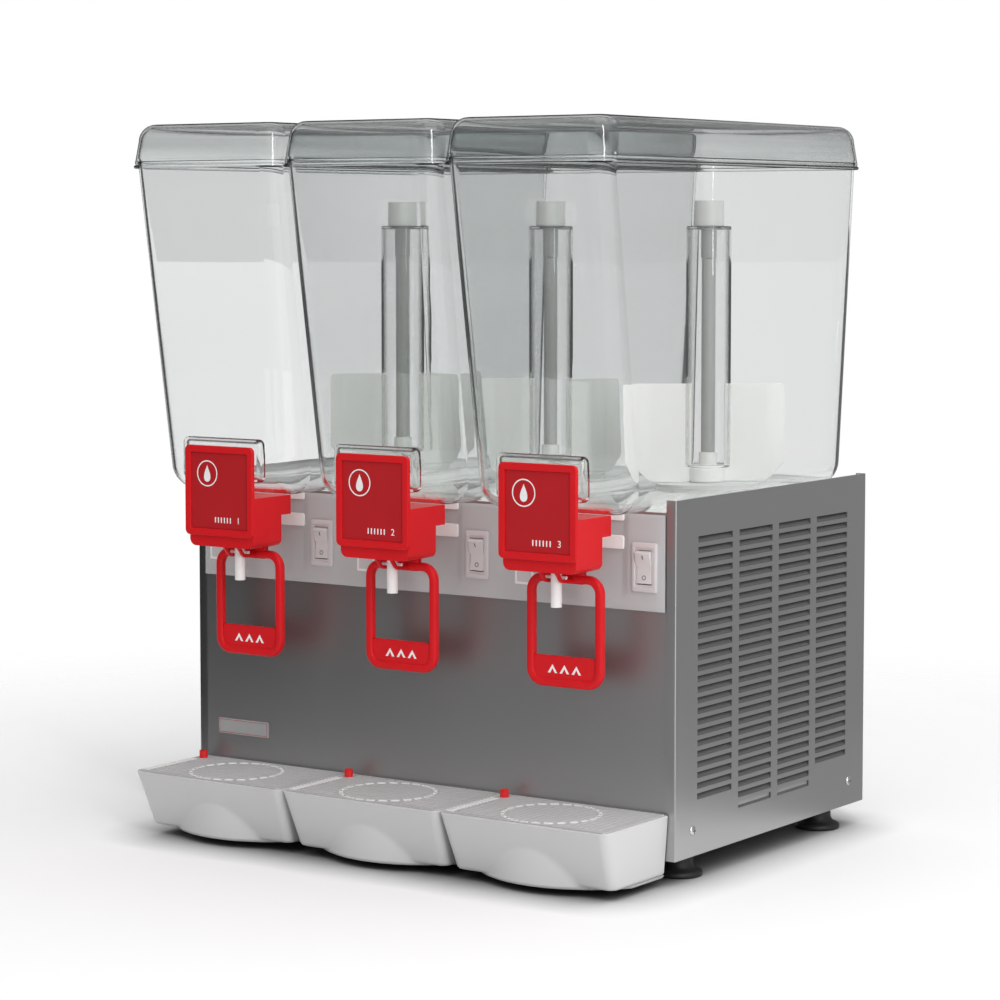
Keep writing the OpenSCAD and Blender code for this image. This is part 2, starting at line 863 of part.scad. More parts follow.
// Fan motor on its stand, with the shaft that carries the fan
module fan_motor() {
    stand_w = 30;
    motor_gap = 1;
    behind = fan_y + fan_hub_l + motor_gap;
    color("#3c3f42") placed()
        translate([cond_x, 0, 0]) {
            translate([0, 0, fan_z]) {
                rod_y(fan_motor_r, behind, behind + fan_motor_l);
                rod_y(fan_shaft_r, fan_y, behind + eps);
            }
            block([-stand_w / 2, behind + fan_motor_l / 4, floor_z],
                  [stand_w / 2, behind + fan_motor_l * 3 / 4, fan_z]);
        }
}

// Five-bladed fan on the motor's shaft
module fan_blade() {
    blades = 5;
    chord = 38;
    pitch = 32;
    t = 2;
    root_l = 3;
    tip_inset = 5;
    color("#55585b") placed()
        translate([cond_x, 0, fan_z])
            difference() {
                union() {
                    rod_y(fan_hub_r, fan_y, fan_y + fan_hub_l);
                    for (k = [0 : blades - 1])
                        translate([0, fan_y + fan_hub_l / 2, 0])
                            rotate([0, k * 360 / blades, 0])
                                rotate([pitch, 0, 0])
                                    block([fan_hub_r - root_l, -t / 2, -chord / 2],
                                          [fan_r - tip_inset, t / 2, chord / 2]);
                }
                rod_y(fan_shaft_r + run_clear, fan_y - cut, fan_y + fan_hub_l + cut);
            }
}

// Gear motors that turn the agitators, hung under the evaporators
module gear_motors() {
    color("#4a4d50") placed()
        for (n = [1 : 3])
            translate([channel_x(n), column_y, evap_low])
                difference() {
                    union() {
                        block([-gearbox_w / 2, -gearbox_w / 2, -gearbox_h],
                              [gearbox_w / 2, gearbox_w / 2, 0]);
                        translate([0, 0, -gearbox_h - motor_h])
                            cylinder(r = motor_r, h = motor_h + eps);
                    }
                    translate([0, 0, -shaft_depth - move_gap])
                        cylinder(r = shaft_r + run_clear, h = shaft_depth + cut);
                }
}

// Evaporator dishes with their chimneys, and the suction pipe that joins them to the compressor
module evaporators() {
    pipe_joint = 1;
    pipe_z = evap_low - pipe_r + pipe_joint;
    comp_top = floor_z + comp_h;
    color("#b4b7ba") placed() {
        for (n = [1 : 3])
            translate([channel_x(n), column_y, 0])
                difference() {
                    union() {
                        translate([0, 0, evap_low])
                            cylinder(r = dish_r, h = dish_top - evap_low);
                        translate([0, 0, evap_low])
                            cylinder(r = dish_r + dish_flange, h = dish_depth);
                        cylinder_from(chimney_r, dish_top - eps, chimney_top);
                    }
                    cylinder_from(chimney_bore_r, evap_low - cut, chimney_top - bearing_l);
                    cylinder_from(shaft_r + run_clear, chimney_top - bearing_l - cut, chimney_top + cut);
                }
        translate([0, column_y + pipe_back, pipe_z])
            rod_x(pipe_r, 2 * channel_pitch + 2 * pipe_r);
        translate([-comp_x, column_y + pipe_back, 0])
            cylinder_from(pipe_r, comp_top, pipe_z);
    }
}

// A cylinder between two heights
module cylinder_from(r, z0, z1) {
    translate([0, 0, z0])
        cylinder(r = r, h = z1 - z0);
}

// A ring between two heights
module ring_from(r_out, r_in, z0, z1) {
    difference() {
        cylinder_from(r_out, z0, z1);
        cylinder_from(r_in, z0 - cut, z1 + cut);
    }
}

// Ring gaskets round the evaporator dishes, inside the tanks' floor openings
module tank_gaskets() {
    color("#303030") placed()
        for (n = [1 : 3])
            translate([channel_x(n), column_y, 0])
                ring_from(dish_r + gasket_t, dish_r + run_clear, deck_z, deck_z + tank_wall);
}

// Switch frames with the housings behind them
module switch_bezels() {
    color("#d8d5d6") placed()
        for (n = [1 : 3])
            translate([channel_x(n) + switch_x, 0, switch_z])
                difference() {
                    union() {
                        block([-bezel_w / 2, -fascia_t - bezel_t, -bezel_h / 2],
                              [bezel_w / 2, -fascia_t, bezel_h / 2]);
                        block([-switch_case_w / 2, -fascia_t - eps, -switch_case_h / 2],
                              [switch_case_w / 2, switch_d, switch_case_h / 2]);
                    }
                    block([-rocker_w / 2 - move_gap, -fascia_t - bezel_t - cut, -rocker_l / 2 - move_gap],
                          [rocker_w / 2 + move_gap, switch_d - switch_case_t, rocker_l / 2 + move_gap]);
                    translate([0, rocker_y, 0])
                        rod_x(rocker_pin_r + run_clear, rocker_w + 2 * move_gap + 2 * rocker_pin_l);
                }
}

// One rocker, resting with its upper half proud
module switch_rocker(n) {
    proud = 5;
    back = 6;
    half_l = rocker_l / 2 - move_gap;
    color("#f2f0f0") at_channel(n)
        translate([switch_x, rocker_y, switch_z])
            rotate([rocker_tilt, 0, 0]) {
                plate_x(-rocker_w / 2, rocker_w / 2)
                    intersection() {
                        circle(half_l);
                        polygon([[-proud + half_l * tan(rocker_tilt), 0],
                                 [-proud - half_l * tan(rocker_tilt) / 2, half_l],
                                 [back, half_l], [back, -half_l],
                                 [-proud - half_l * tan(rocker_tilt) / 2, -half_l]]);
                    }
                rod_x(rocker_pin_r, rocker_w + 2 * rocker_pin_l);
            }
}

// Strain-relief gland at the rear, for a supply lead
module cable_gland() {
    inside = 12;
    color("#1c1c1c") placed()
        translate([-comp_x, 0, floor_z + gland_rise])
            difference() {
                union() {
                    rod_y(gland_r, cab_d, cab_d + gland_reach);
                    rod_y(gland_stem_r, cab_d - inside, cab_d + eps);
                }
                rod_y(gland_bore_r, cab_d - inside - cut, cab_d + gland_reach + cut);
            }
}

// Rounded, tapering form of a tank up to a height, drawn in by a wall's thickness
module tank_form(inset, top) {
    rim_h = 1;
    low_x = tank_w_bottom / 2 - bottom_r;
    top_x = tank_w_top / 2 - corner_r;
    hull()
        for (sx = [-1, 1]) {
            for (y = [bottom_r - tank_front_bottom, tank_back_bottom - bottom_r])
                translate([sx * low_x, y, deck_z + bottom_r])
                    half_ball(bottom_r - inset);
            for (y = [corner_r - tank_front_top, tank_back_top - corner_r])
                translate([sx * top_x, y, tank_top - rim_h])
                    cylinder(r = corner_r - inset, h = top - tank_top + rim_h, $fn = hull_fn);
        }
}

// One clear tank with its outlet chamber and outlet neck
module tank(n) {
    inner_y = tank_wall - tank_front_bottom + bottom_r;
    color("#dfe6e4", 0.4) at_channel(n)
        difference() {
            union() {
                tank_form(0, tank_top);
                block([-chamber_w / 2, -tap_reach, chamber_z],
                      [chamber_w / 2, inner_y, chamber_z + chamber_h]);
                translate([0, -piston_reach, 0])
                    cylinder_from(neck_r, neck_bottom, chamber_z + tank_wall);
            }
            tank_form(tank_wall, tank_top + cut);
            block([-chamber_w / 2 + tank_wall, -tap_reach + tank_wall, chamber_z + tank_wall],
                  [chamber_w / 2 - tank_wall, inner_y + cut, chamber_z + chamber_h - tank_wall]);
            translate([0, -piston_reach, 0]) {
                cylinder_from(neck_bore_r, seat_z, chamber_z + tank_wall + cut);
                cylinder_from(seat_hole_r, neck_bottom - cut, seat_z + cut);
            }
            translate([0, column_y, 0])
                cylinder_from(tank_hole_r, deck_z - cut, deck_z + tank_wall + cut);
        }
}

// Outline of a tank's rim at one height, grown outwards
module rim_form(grow, z0, z1) {
    top_x = tank_w_top / 2 - corner_r;
    hull()
        for (sx = [-1, 1], y = [corner_r - tank_front_top, tank_back_top - corner_r])
            translate([sx * top_x, y, z0])
                cylinder(r = corner_r + grow, h = z1 - z0, $fn = hull_fn);
}

// Rounded cap over the rim's outline, grown outwards
module lid_form(grow, z0, z1, round) {
    foot_t = 1;
    top_x = tank_w_top / 2 + grow - lid_draft - round;
    front = round - tank_front_top - grow + lid_draft;
    back = tank_back_top + grow - lid_draft - round;
    hull() {
        rim_form(grow, z0, z0 + foot_t);
        for (sx = [-1, 1], y = [front, back])
            translate([sx * top_x, y, z1 - round])
                mirror([0, 0, 1])
                    half_ball(round);
    }
}

// One clear lid that drops over the tank's rim
module tank_lid(n) {
    color("#dfe6e4", 0.4) at_channel(n)
        difference() {
            lid_form(lid_over, lid_bottom, lid_top, lid_round);
            rim_form(lid_clear, lid_bottom - cut, tank_top);
            rim_form(-lid_seat, tank_top - cut, tank_top + lid_wall + cut);
            lid_form(lid_over - lid_wall, tank_top + lid_wall, lid_top - lid_wall, lid_round - lid_wall);
        }
}

// One tap body, with its bores, the lever's slots, the pivot pin and the recess behind the spout
module tap_body(n) {
    half = tap_w / 2;
    bar_room = 1.2;
    pin_hold = 3;
    slot_front = -pivot_reach - boss_r - slot_room / 2;
    slot_rear = -pivot_reach + boss_r + slot_room;
    recess_front = tap_rear + bar_d / 2 + bar_room;
    color("#cf1f28") at_channel(n) {
        difference() {
            union() {
                plate_y(-tap_reach, -tap_rear) {
                    translate([-half, tap_bottom + tap_corner_r])
                        square([tap_w, tap_h - tap_corner_r]);
                    translate([0, tap_bottom + tap_h / 2])
                        rounded(tap_w, tap_h, tap_corner_r);
                }
                block([-half, -tap_rear - eps, tap_top - tap_flange_h],
                      [half, -tap_rear + tap_flange_d, tap_top]);
            }
            translate([0, -piston_reach, 0]) {
                cylinder_from(neck_r + neck_clear, neck_bottom, tap_top + cut);
                cylinder_from(spring_room_r, tap_bottom + tap_floor_t, neck_bottom + cut);
                cylinder_from(spout_r + run_clear, tap_bottom - cut, tap_bottom + tap_floor_t + cut);
            }
            for (sx = [-1, 1])
                mirror([sx < 0 ? 1 : 0, 0, 0])
                    block([arm_x - slot_side, slot_front, tap_bottom - cut],
                          [arm_x + arm_t + slot_side, slot_rear, pivot_z + boss_r + slot_room / 2]);
            block([-half + tap_side_wall, -recess_front, tap_bottom - cut],
                  [half - tap_side_wall, -tap_rear + cut, tap_bottom + tap_recess_h]);
        }
        translate([0, -pivot_reach, pivot_z])
            rod_x(pivot_r, 2 * (arm_x + arm_t + slot_side + pin_hold));
    }
}

// One front cover plate with a raised border
module tap_cover(n) {
    mid_z = cover_top - cover_h / 2;
    inner_r = 1;
    color("#d8232c") at_channel(n)
        difference() {
            plate_y(-tap_reach - cover_t, -tap_reach)
                translate([0, mid_z])
                    rounded(cover_w, cover_h, cover_corner_r);
            plate_y(-tap_reach - cover_t - cut, -tap_reach - cover_t + cover_recess)
                translate([0, mid_z])
                    rounded(cover_w - 2 * cover_border, cover_h - 2 * cover_border, inner_r);
        }
}

// The lever's loop: straight bars and round corners, in the x-z plane
module lever_loop() {
    bar_r = bar_d / 2;
    half_x = loop_w / 2 - bar_r;
    top = loop_top - bar_r;
    low = loop_top - loop_h + bar_r;
    run = loop_w - bar_d - 2 * loop_corner_r;
    rise = top - low - 2 * loop_corner_r;
    for (z = [low, top])
        translate([0, 0, z])
            rod_x(bar_r, run + 2 * eps);
    for (sx = [-1, 1])
        translate([sx * half_x, 0, low + loop_corner_r - eps])
            cylinder(r = bar_r, h = rise + 2 * eps);
    for (sx = [0, 1], sz = [0, 1])
        mirror([sx, 0, 0])
            translate([half_x - loop_corner_r, 0, sz ? top - loop_corner_r : low + loop_corner_r])
                mirror([0, 0, 1 - sz])
                    rotate([90, 0, 0])
                        rotate_extrude(angle = 90)
                            translate([loop_corner_r, 0])
                                circle(bar_r);
}

// One push lever: loop, push pad, web behind the spout and fork arms that reach forward to the pivot
module tap_lever(n) {
    pad_w = loop_w - bar_d;
    pad_low = loop_top - loop_h + bar_d / 2;
    web_gap = 1;
    color("#d8232c") at_channel(n)
        difference() {
            union() {
                translate([0, -loop_reach, 0]) {
                    lever_loop();
                    block([-pad_w / 2 + loop_corner_r / 3, -pad_t / 2, pad_low],
                          [pad_w / 2 - loop_corner_r / 3, pad_t / 2, pad_low + pad_h - bar_d / 2]);
                    block([-pad_w / 2, -pad_t / 2, pad_low + loop_corner_r],
                          [pad_w / 2, pad_t / 2, pad_low + pad_h - bar_d / 2]);
                    block([-web_w / 2, -web_t / 2, loop_top - bar_d],
                          [web_w / 2, web_t / 2, tap_bottom - web_gap]);
                }
                for (sx = [-1, 1])
                    mirror([sx < 0 ? 1 : 0, 0, 0]) {
                        block([arm_x, -pivot_reach - boss_r, arm_low], [arm_x + arm_t, -loop_reach, arm_top]);
                        block([arm_x, -pivot_reach - boss_r, arm_low],
                              [arm_x + arm_t, -pivot_reach + boss_r, pivot_z]);
                        translate([arm_x + arm_t / 2, -pivot_reach, pivot_z])
                            rod_x(boss_r, arm_t);
                    }
            }
            translate([0, -pivot_reach, pivot_z])
                rod_x(pivot_r + run_clear, loop_w);
        }
}

// One piston: valve head on its seat, collar under the spring, spout and the pin that the lever lifts
module tap_piston(n) {
    port_r = spout_bore_d / 4;
    port_gap = 1;
    pin_short = 1;
    port_z = neck_bottom - port_r - port_gap;
    color("#f4f4f2") at_channel(n)
        translate([0, -piston_reach, 0])
            difference() {
                union() {
                    cylinder_from(spout_r, tap_bottom - spout_drop, seat_z + eps);
                    cylinder_from(head_r, seat_z, seat_z + head_h);
                    cylinder_from(collar_r, collar_z, collar_z + collar_h);
                    translate([0, 0, lift_pin_z])
                        rod_x(lift_pin_r, 2 * (arm_x + arm_t - pin_short));
                }
                cylinder_from(spout_bore_d / 2, tap_bottom - spout_drop - cut, port_z);
                translate([0, 0, port_z])
                    rod_x(port_r, 2 * head_r);
            }
}

// Ring of points round the spring's wire, at a turn angle a and height z
function wire_ring(a, z) = [for (k = [0 : wire_sides - 1])
    let (b = 360 * k / wire_sides, r = spring_r + wire_d / 2 * cos(b))
    [r * cos(a), r * sin(a), z + wire_d / 2 * sin(b)]];

// One piston spring: a helical wire between the piston's collar and the neck
module tap_spring(n) {
    low = spring_low + wire_d / 2;
    rise = spring_high - spring_low - wire_d;
    steps = spring_turns * steps_per_turn;
    points = [for (s = [0 : steps]) each wire_ring(360 * s / steps_per_turn, low + rise * s / steps)];
    last = steps * wire_sides;
    sides = [for (s = [0 : steps - 1], k = [0 : wire_sides - 1])
        let (a = s * wire_sides + k, b = s * wire_sides + (k + 1) % wire_sides)
        each [[a, a + wire_sides, b], [b, a + wire_sides, b + wire_sides]]];
    ends = [for (k = [1 : wire_sides - 2])
        each [[0, k, k + 1], [last, last + k + 1, last + k]]];
    color("#b8babc") at_channel(n)
        translate([0, -piston_reach, 0])
            polyhedron(points, concat(sides, ends));
}

// One agitator: hub with two paddle blades, and the cap and sleeve that the drive shaft turns
module agitator(n) {
    tube_gap = 1;
    hub_bite = 2;
    root_r = tube_r + tube_gap;
    web_top = hub_top - move_gap;
    socket = shaft_square / 2 + move_gap;
    color("#f1f2f1") at_channel(n)
        translate([0, column_y, 0]) {
            difference() {
                union() {
                    cylinder_from(hub_r, hub_z, hub_top);
                    cylinder_from(hub_neck_r, hub_top - eps, hub_neck_top);
                    for (half = [0, 180])
                        rotate([0, 0, blade_turn + half]) {
                            difference() {
                                paddle(root_r);
                                translate([blade_r - blade_cut, 0, hub_z])
                                    rotate([0, -45, 0])
                                        block([0, -blade_r, -2 * blade_cut], [2 * blade_cut, blade_r, 0]);
                            }
                            block([hub_r - hub_bite, -blade_t / 2, hub_z],
                                  [root_r + hub_bite, blade_t / 2, web_top]);
                        }
                }
                cylinder_from(hub_bore_r, hub_z - cut, hub_neck_top + cut);
            }
            difference() {
                union() {
                    cylinder_from(sleeve_r, tube_top - sleeve_l, tube_top + eps);
                    cylinder_from(cap_r - cap_step_w, tube_top, tube_top + cap_step_h + eps);
                    cylinder_from(cap_r, tube_top + cap_step_h, cap_top);
                }
                block([-socket, -socket, tube_top - sleeve_l - cut], [socket, socket, shaft_top + move_gap]);
            }
        }
}

// One paddle blade with its bent outer strip, before its lower corner is cut off
module paddle(root_r) {
    crease = blade_r - blade_tip_w * cos(blade_bend);
    translate([0, 0, hub_z])
        linear_extrude(blade_h) {
            translate([root_r, -blade_t / 2])
                square([crease - root_r, blade_t]);
            translate([crease, 0])
                rotate(blade_bend)
                    translate([-blade_t / 4, -blade_t / 2])
                        square([blade_tip_w + blade_t / 4, blade_t]);
        }
}

// One clear tube round the chimney, closed in at both ends
module agitator_tube(n) {
    color("#e8eeee", 0.4) at_channel(n)
        translate([0, column_y, 0]) {
            ring_from(tube_r, tube_r - tube_wall, hub_top, tube_top);
            ring_from(tube_r - tube_wall + eps, hub_neck_r + move_gap / 2, hub_top, hub_top + tube_wall);
            ring_from(tube_r - tube_wall + eps, sleeve_r + move_gap / 2, tube_top - tube_wall, tube_top);
        }
}

// One drive shaft from the gearbox up to the agitator's cap
module drive_shaft(n) {
    color("#9b9ea1") at_channel(n)
        translate([0, column_y, 0]) {
            cylinder_from(shaft_r, evap_low - shaft_depth, chimney_top);
            translate([-shaft_square / 2, -shaft_square / 2, chimney_top - eps])
                cube([shaft_square, shaft_square, shaft_top - chimney_top]);
        }
}

// Leaning box of a tray between two heights, drawn in by a wall's thickness
module tray_form(inset, z0, z1) {
    t0 = (tray_rim_z - z0) / (tray_rim_z - tray_low_z);
    t1 = (tray_rim_z - z1) / (tray_rim_z - tray_low_z);
    edge = 0.5;
    hull() {
        tray_slice(inset, t0, z0, edge);
        tray_slice(inset, t1, z1 - edge, edge);
    }
}

// One thin slice of a tray, t = 0 at the rim and 1 at its lower edge
module tray_slice(inset, t, z, h) {
    half = tray_w / 2 - tray_side_lean * t - inset;
    block([-half, -tray_reach + tray_lean * t + inset, z], [half, tray_rear - inset, z + h]);
}

// Round basin of a tray, in front of the cabinet only
module tray_basin(inset) {
    reach = tray_reach + basin_r;
    intersection() {
        translate([0, -basin_reach, 0])
            cylinder_from(basin_r - inset, basin_low_z + inset, basin_top_z);
        block([-tray_w, -reach, 0], [tray_w, tray_rear - inset, tray_rim_z]);
    }
}

// One drip tray: leaning walls, round basin, ledges for the grid and hanging tabs
module drip_tray(n) {
    ledge_z = grid_low;
    color("#e9e9e9") at_tray(n) {
        difference() {
            union() {
                tray_form(0, tray_low_z, tray_rim_z);
                tray_basin(0);
            }
            tray_form(tray_wall, tray_low_z + tray_wall, ledge_z - tray_wall);
            tray_basin(tray_wall);
            block([-grid_w / 2 - grid_gap, -grid_front - grid_gap, ledge_z],
                  [grid_w / 2 + grid_gap, -grid_rear + grid_gap, tray_rim_z + cut]);
            block([-grid_w / 2 + grid_ledge, -grid_front + grid_ledge, ledge_z - tray_wall - cut],
                  [grid_w / 2 - grid_ledge, -grid_rear - grid_ledge, ledge_z + cut]);
        }
        for (sx = [-1, 1])
            translate([sx * tab_x, 0, tab_z])
                block([-tab_w / 2, tray_rear - tray_wall, 0], [tab_w / 2, tab_reach, tab_t]);
    }
}

// One drip grid with its ring of drain slots, on the tray's ledges
module drip_grid(n) {
    shift = channel_x(n) - tray_x(n);
    edge_inset = 4;
    edge_x = -grid_w / 2 + grid_ledge + drain_w + edge_inset;
    edge_run = grid_front - peg_reach - 2 * float_w;
    color("#dcdcdc") at_tray(n)
        difference() {
            block([-grid_w / 2, -grid_front, grid_low], [grid_w / 2, -grid_rear, grid_top]);
            translate([shift, -ring_reach, grid_low - cut])
                for (k = [0 : ring_slots - 1])
                    rotate([0, 0, 360 * k / ring_slots])
                        translate([ring_r - drain_w / 2, -drain_l / 2, 0])
                            cube([drain_w, drain_l, grid_t + 2 * cut]);
            for (k = [0 : edge_slots - 1])
                translate([edge_x - drain_w / 2, -grid_front + float_w / 2 + k * edge_run / (edge_slots - 1),
                           grid_low - cut])
                    cube([drain_w, drain_l / 2, grid_t + 2 * cut]);
            translate([-tray_w / 2 + peg_inset, -peg_reach, 0])
                cylinder_from(peg_r + move_gap, grid_low - cut, grid_top + cut);
        }
}

// One level float: a block on a stem in the tray, with a red peg up through the grid
module tray_float(n) {
    block_top = grid_low - float_drop;
    rim = 0.5;
    outer = peg_r + rim;
    color("#e01b22") at_tray(n)
        translate([-tray_w / 2 + peg_inset, -peg_reach, 0]) {
            cylinder_from(peg_r, block_top - eps, grid_top + peg_proud);
            cylinder_from(peg_r / 2, tray_low_z + tray_wall + move_gap, block_top - eps);
            block([-outer + tray_side_lean / 2, -float_w / 2, block_top - float_h],
                  [float_w - outer, float_w / 2, block_top]);
        }
}

base_pan();
side_panel(false);  // side_panel_left
side_panel(true);  // side_panel_right
front_panel();
rear_panel();
top_deck();
fascia_strip();
feet();
panel_screws();
compressor();
condenser();
fan_motor();
fan_blade();
gear_motors();
evaporators();
tank_gaskets();
switch_bezels();
cable_gland();
tank(1);  // tank_1
tank(2);  // tank_2
tank(3);  // tank_3
tank_lid(1);  // tank_lid_1
tank_lid(2);  // tank_lid_2
tank_lid(3);  // tank_lid_3
tap_body(1);  // tap_body_1
tap_body(2);  // tap_body_2
tap_body(3);  // tap_body_3
tap_cover(1);  // tap_cover_1
tap_cover(2);  // tap_cover_2
tap_cover(3);  // tap_cover_3
tap_lever(1);  // tap_lever_1
tap_lever(2);  // tap_lever_2
tap_lever(3);  // tap_lever_3
tap_piston(1);  // tap_piston_1
tap_piston(2);  // tap_piston_2
tap_piston(3);  // tap_piston_3
tap_spring(1);  // tap_spring_1
tap_spring(2);  // tap_spring_2
tap_spring(3);  // tap_spring_3
agitator(1);  // agitator_1
agitator(2);  // agitator_2
agitator(3);  // agitator_3
agitator_tube(1);  // agitator_tube_1
agitator_tube(2);  // agitator_tube_2
agitator_tube(3);  // agitator_tube_3
drive_shaft(1);  // drive_shaft_1
drive_shaft(2);  // drive_shaft_2
drive_shaft(3);  // drive_shaft_3
switch_rocker(1);  // switch_rocker_1
switch_rocker(2);  // switch_rocker_2
switch_rocker(3);  // switch_rocker_3
drip_tray(1);  // drip_tray_1
drip_tray(2);  // drip_tray_2
drip_tray(3);  // drip_tray_3
drip_grid(1);  // drip_grid_1
drip_grid(2);  // drip_grid_2
drip_grid(3);  // drip_grid_3
tray_float(1);  // tray_float_1
tray_float(2);  // tray_float_2
tray_float(3);  // tray_float_3
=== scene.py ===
"""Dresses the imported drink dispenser: clear tanks, brushed steel, red push taps and white drip trays."""

import math

import bmesh
import bpy
import numpy as np
from mathutils.bvhtree import BVHTree
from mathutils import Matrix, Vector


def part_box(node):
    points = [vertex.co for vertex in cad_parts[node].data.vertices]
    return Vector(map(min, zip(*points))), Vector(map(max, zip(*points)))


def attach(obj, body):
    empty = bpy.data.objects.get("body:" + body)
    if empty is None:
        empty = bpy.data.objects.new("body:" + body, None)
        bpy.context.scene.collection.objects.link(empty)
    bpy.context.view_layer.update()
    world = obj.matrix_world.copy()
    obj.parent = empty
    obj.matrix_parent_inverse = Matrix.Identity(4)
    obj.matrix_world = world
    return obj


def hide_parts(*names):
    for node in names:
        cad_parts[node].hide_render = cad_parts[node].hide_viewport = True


bl_info = {
    "name": "Drink dispenser",
    "version": (1, 0, 0),
    "blender": (4, 5, 0),
    "location": "3D View > Sidebar > Dispenser",
    "description": "Builds the looks of a refrigerated drink dispenser around its fixed frame",
    "category": "Object",
}

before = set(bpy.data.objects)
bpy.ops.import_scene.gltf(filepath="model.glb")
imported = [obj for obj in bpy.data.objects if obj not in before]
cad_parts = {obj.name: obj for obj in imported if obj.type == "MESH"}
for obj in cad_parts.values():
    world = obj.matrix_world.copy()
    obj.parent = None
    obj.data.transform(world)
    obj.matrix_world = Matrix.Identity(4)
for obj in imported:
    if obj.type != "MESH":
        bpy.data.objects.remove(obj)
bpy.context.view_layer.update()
CHANNELS = (1, 2, 3)
DOUBLES = 1e-6
SMOOTH_CREASE = 35


class DispenserFinish(bpy.types.PropertyGroup):
    """Colours of the dispenser's materials."""

    red: bpy.props.FloatVectorProperty(
        name="Tap red", description="Colour of taps and levers", subtype="COLOR", size=3,
        default=(0.64, 0.0095, 0.0145))
    red_panel: bpy.props.FloatVectorProperty(
        name="Panel red", description="Colour of the covers' sunk panels", subtype="COLOR", size=3,
        default=(0.45, 0.0105, 0.015))
    steel: bpy.props.FloatVectorProperty(
        name="Steel", description="Colour of the brushed panels", subtype="COLOR", size=3,
        default=(0.5, 0.5, 0.505))
    clear: bpy.props.FloatVectorProperty(
        name="Clear plastic", description="Tint of tanks and lids", subtype="COLOR", size=3,
        default=(0.955, 0.963, 0.962))
    fascia: bpy.props.FloatVectorProperty(
        name="Fascia", description="Colour of the fascia strip", subtype="COLOR", size=3,
        default=(0.505, 0.508, 0.516))
    tray: bpy.props.FloatVectorProperty(
        name="Tray", description="Colour of the drip trays", subtype="COLOR", size=3, default=(0.6, 0.6, 0.6))
    grid: bpy.props.FloatVectorProperty(
        name="Grid", description="Colour of the drip grids", subtype="COLOR", size=3,
        default=(0.53, 0.53, 0.53))
    white: bpy.props.FloatVectorProperty(
        name="White plastic", description="Colour of agitators, spouts and rockers", subtype="COLOR", size=3,
        default=(0.88, 0.88, 0.87))


class DispenserShapes(bpy.types.PropertyGroup):
    """Radii and walls that round the dispenser's pieces."""

    tank_wall: bpy.props.FloatProperty(
        name="Tank wall", description="Wall thickness of a tank", subtype="DISTANCE", default=0.003)
    tank_corner: bpy.props.FloatProperty(
        name="Tank corner", description="Radius of a tank's upright corners at the rim", subtype="DISTANCE",
        default=0.016)
    tank_bottom: bpy.props.FloatProperty(
        name="Tank bottom", description="Radius between a tank's floor and walls", subtype="DISTANCE",
        default=0.025)
    lid_wall: bpy.props.FloatProperty(
        name="Lid wall", description="Wall thickness of a lid", subtype="DISTANCE", default=0.0022)
    lid_round: bpy.props.FloatProperty(
        name="Lid round", description="Radius along a lid's top edge", subtype="DISTANCE", default=0.016)
    tray_corner: bpy.props.FloatProperty(
        name="Tray corner", description="Radius of a drip tray's front corners", subtype="DISTANCE",
        default=0.008)
    soft_edge: bpy.props.FloatProperty(
        name="Soft edge", description="Round along the edges of moulded pieces", subtype="DISTANCE",
        default=0.001)


class DispenserStage(bpy.types.PropertyGroup):
    """Light and background round the dispenser."""

    key: bpy.props.FloatProperty(
        name="Key light", description="Power of the strip light near the camera", unit="POWER", default=26)
    fill: bpy.props.FloatProperty(
        name="Soft light", description="Level of the soft light from all round", default=0.72)
    edge_tone: bpy.props.FloatProperty(
        name="Edge tone", description="Tone of the surround for light caught inside clear walls",
        default=0.08)
    front_left: bpy.props.FloatProperty(
        name="Front card, left", description="Tone that the front panel mirrors at its left end",
        default=0.02)
    front_right: bpy.props.FloatProperty(
        name="Front card, right", description="Tone that the front panel mirrors at its right end",
        default=0.29)
    side_card: bpy.props.FloatProperty(
        name="Side card", description="Tone of the card that the right side mirrors", default=0.33)
    far_left: bpy.props.FloatProperty(
        name="Far card, left", description="Tone seen through the upper tanks on the left", default=0.78)
    far_right: bpy.props.FloatProperty(
        name="Far card, right", description="Tone seen through the upper tanks on the right", default=0.93)
    high_left: bpy.props.FloatProperty(
        name="High card, left", description="Tone seen through the lids on the left", default=0.8)
    high_right: bpy.props.FloatProperty(
        name="High card, right", description="Tone seen through the lids on the right", default=0.85)


def finish():
    """The colours in use."""
    return bpy.context.scene.dispenser_finish


def shapes():
    """The radii and walls in use."""
    return bpy.context.scene.dispenser_shapes


# Shapes


def corners(node):
    """Lowest and highest corner of a frame node, as arrays."""
    low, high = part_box(node)
    return np.array(low), np.array(high)


def middle_x(n):
    """Middle of channel n across the width."""
    low, high = corners(f"tank_{n}")
    return (low[0] + high[0]) / 2


def switch_middle(n):
    """Middle of channel n's switch across the width and up."""
    rocker_low, rocker_high = corners(f"switch_rocker_{n}")
    low, high = corners("switch_bezels")
    return (rocker_low[0] + rocker_high[0]) / 2, (low[2] + high[2]) / 2


def merged(values):
    """Values in order, each once, to a thousandth of a millimetre."""
    return np.unique(np.round(values, 6))


def smooth(low, high, value):
    """Smooth step from 0 at low to 1 at high."""
    t = np.clip((value - low) / (high - low), 0, 1)
    return t * t * (3 - 2 * t)


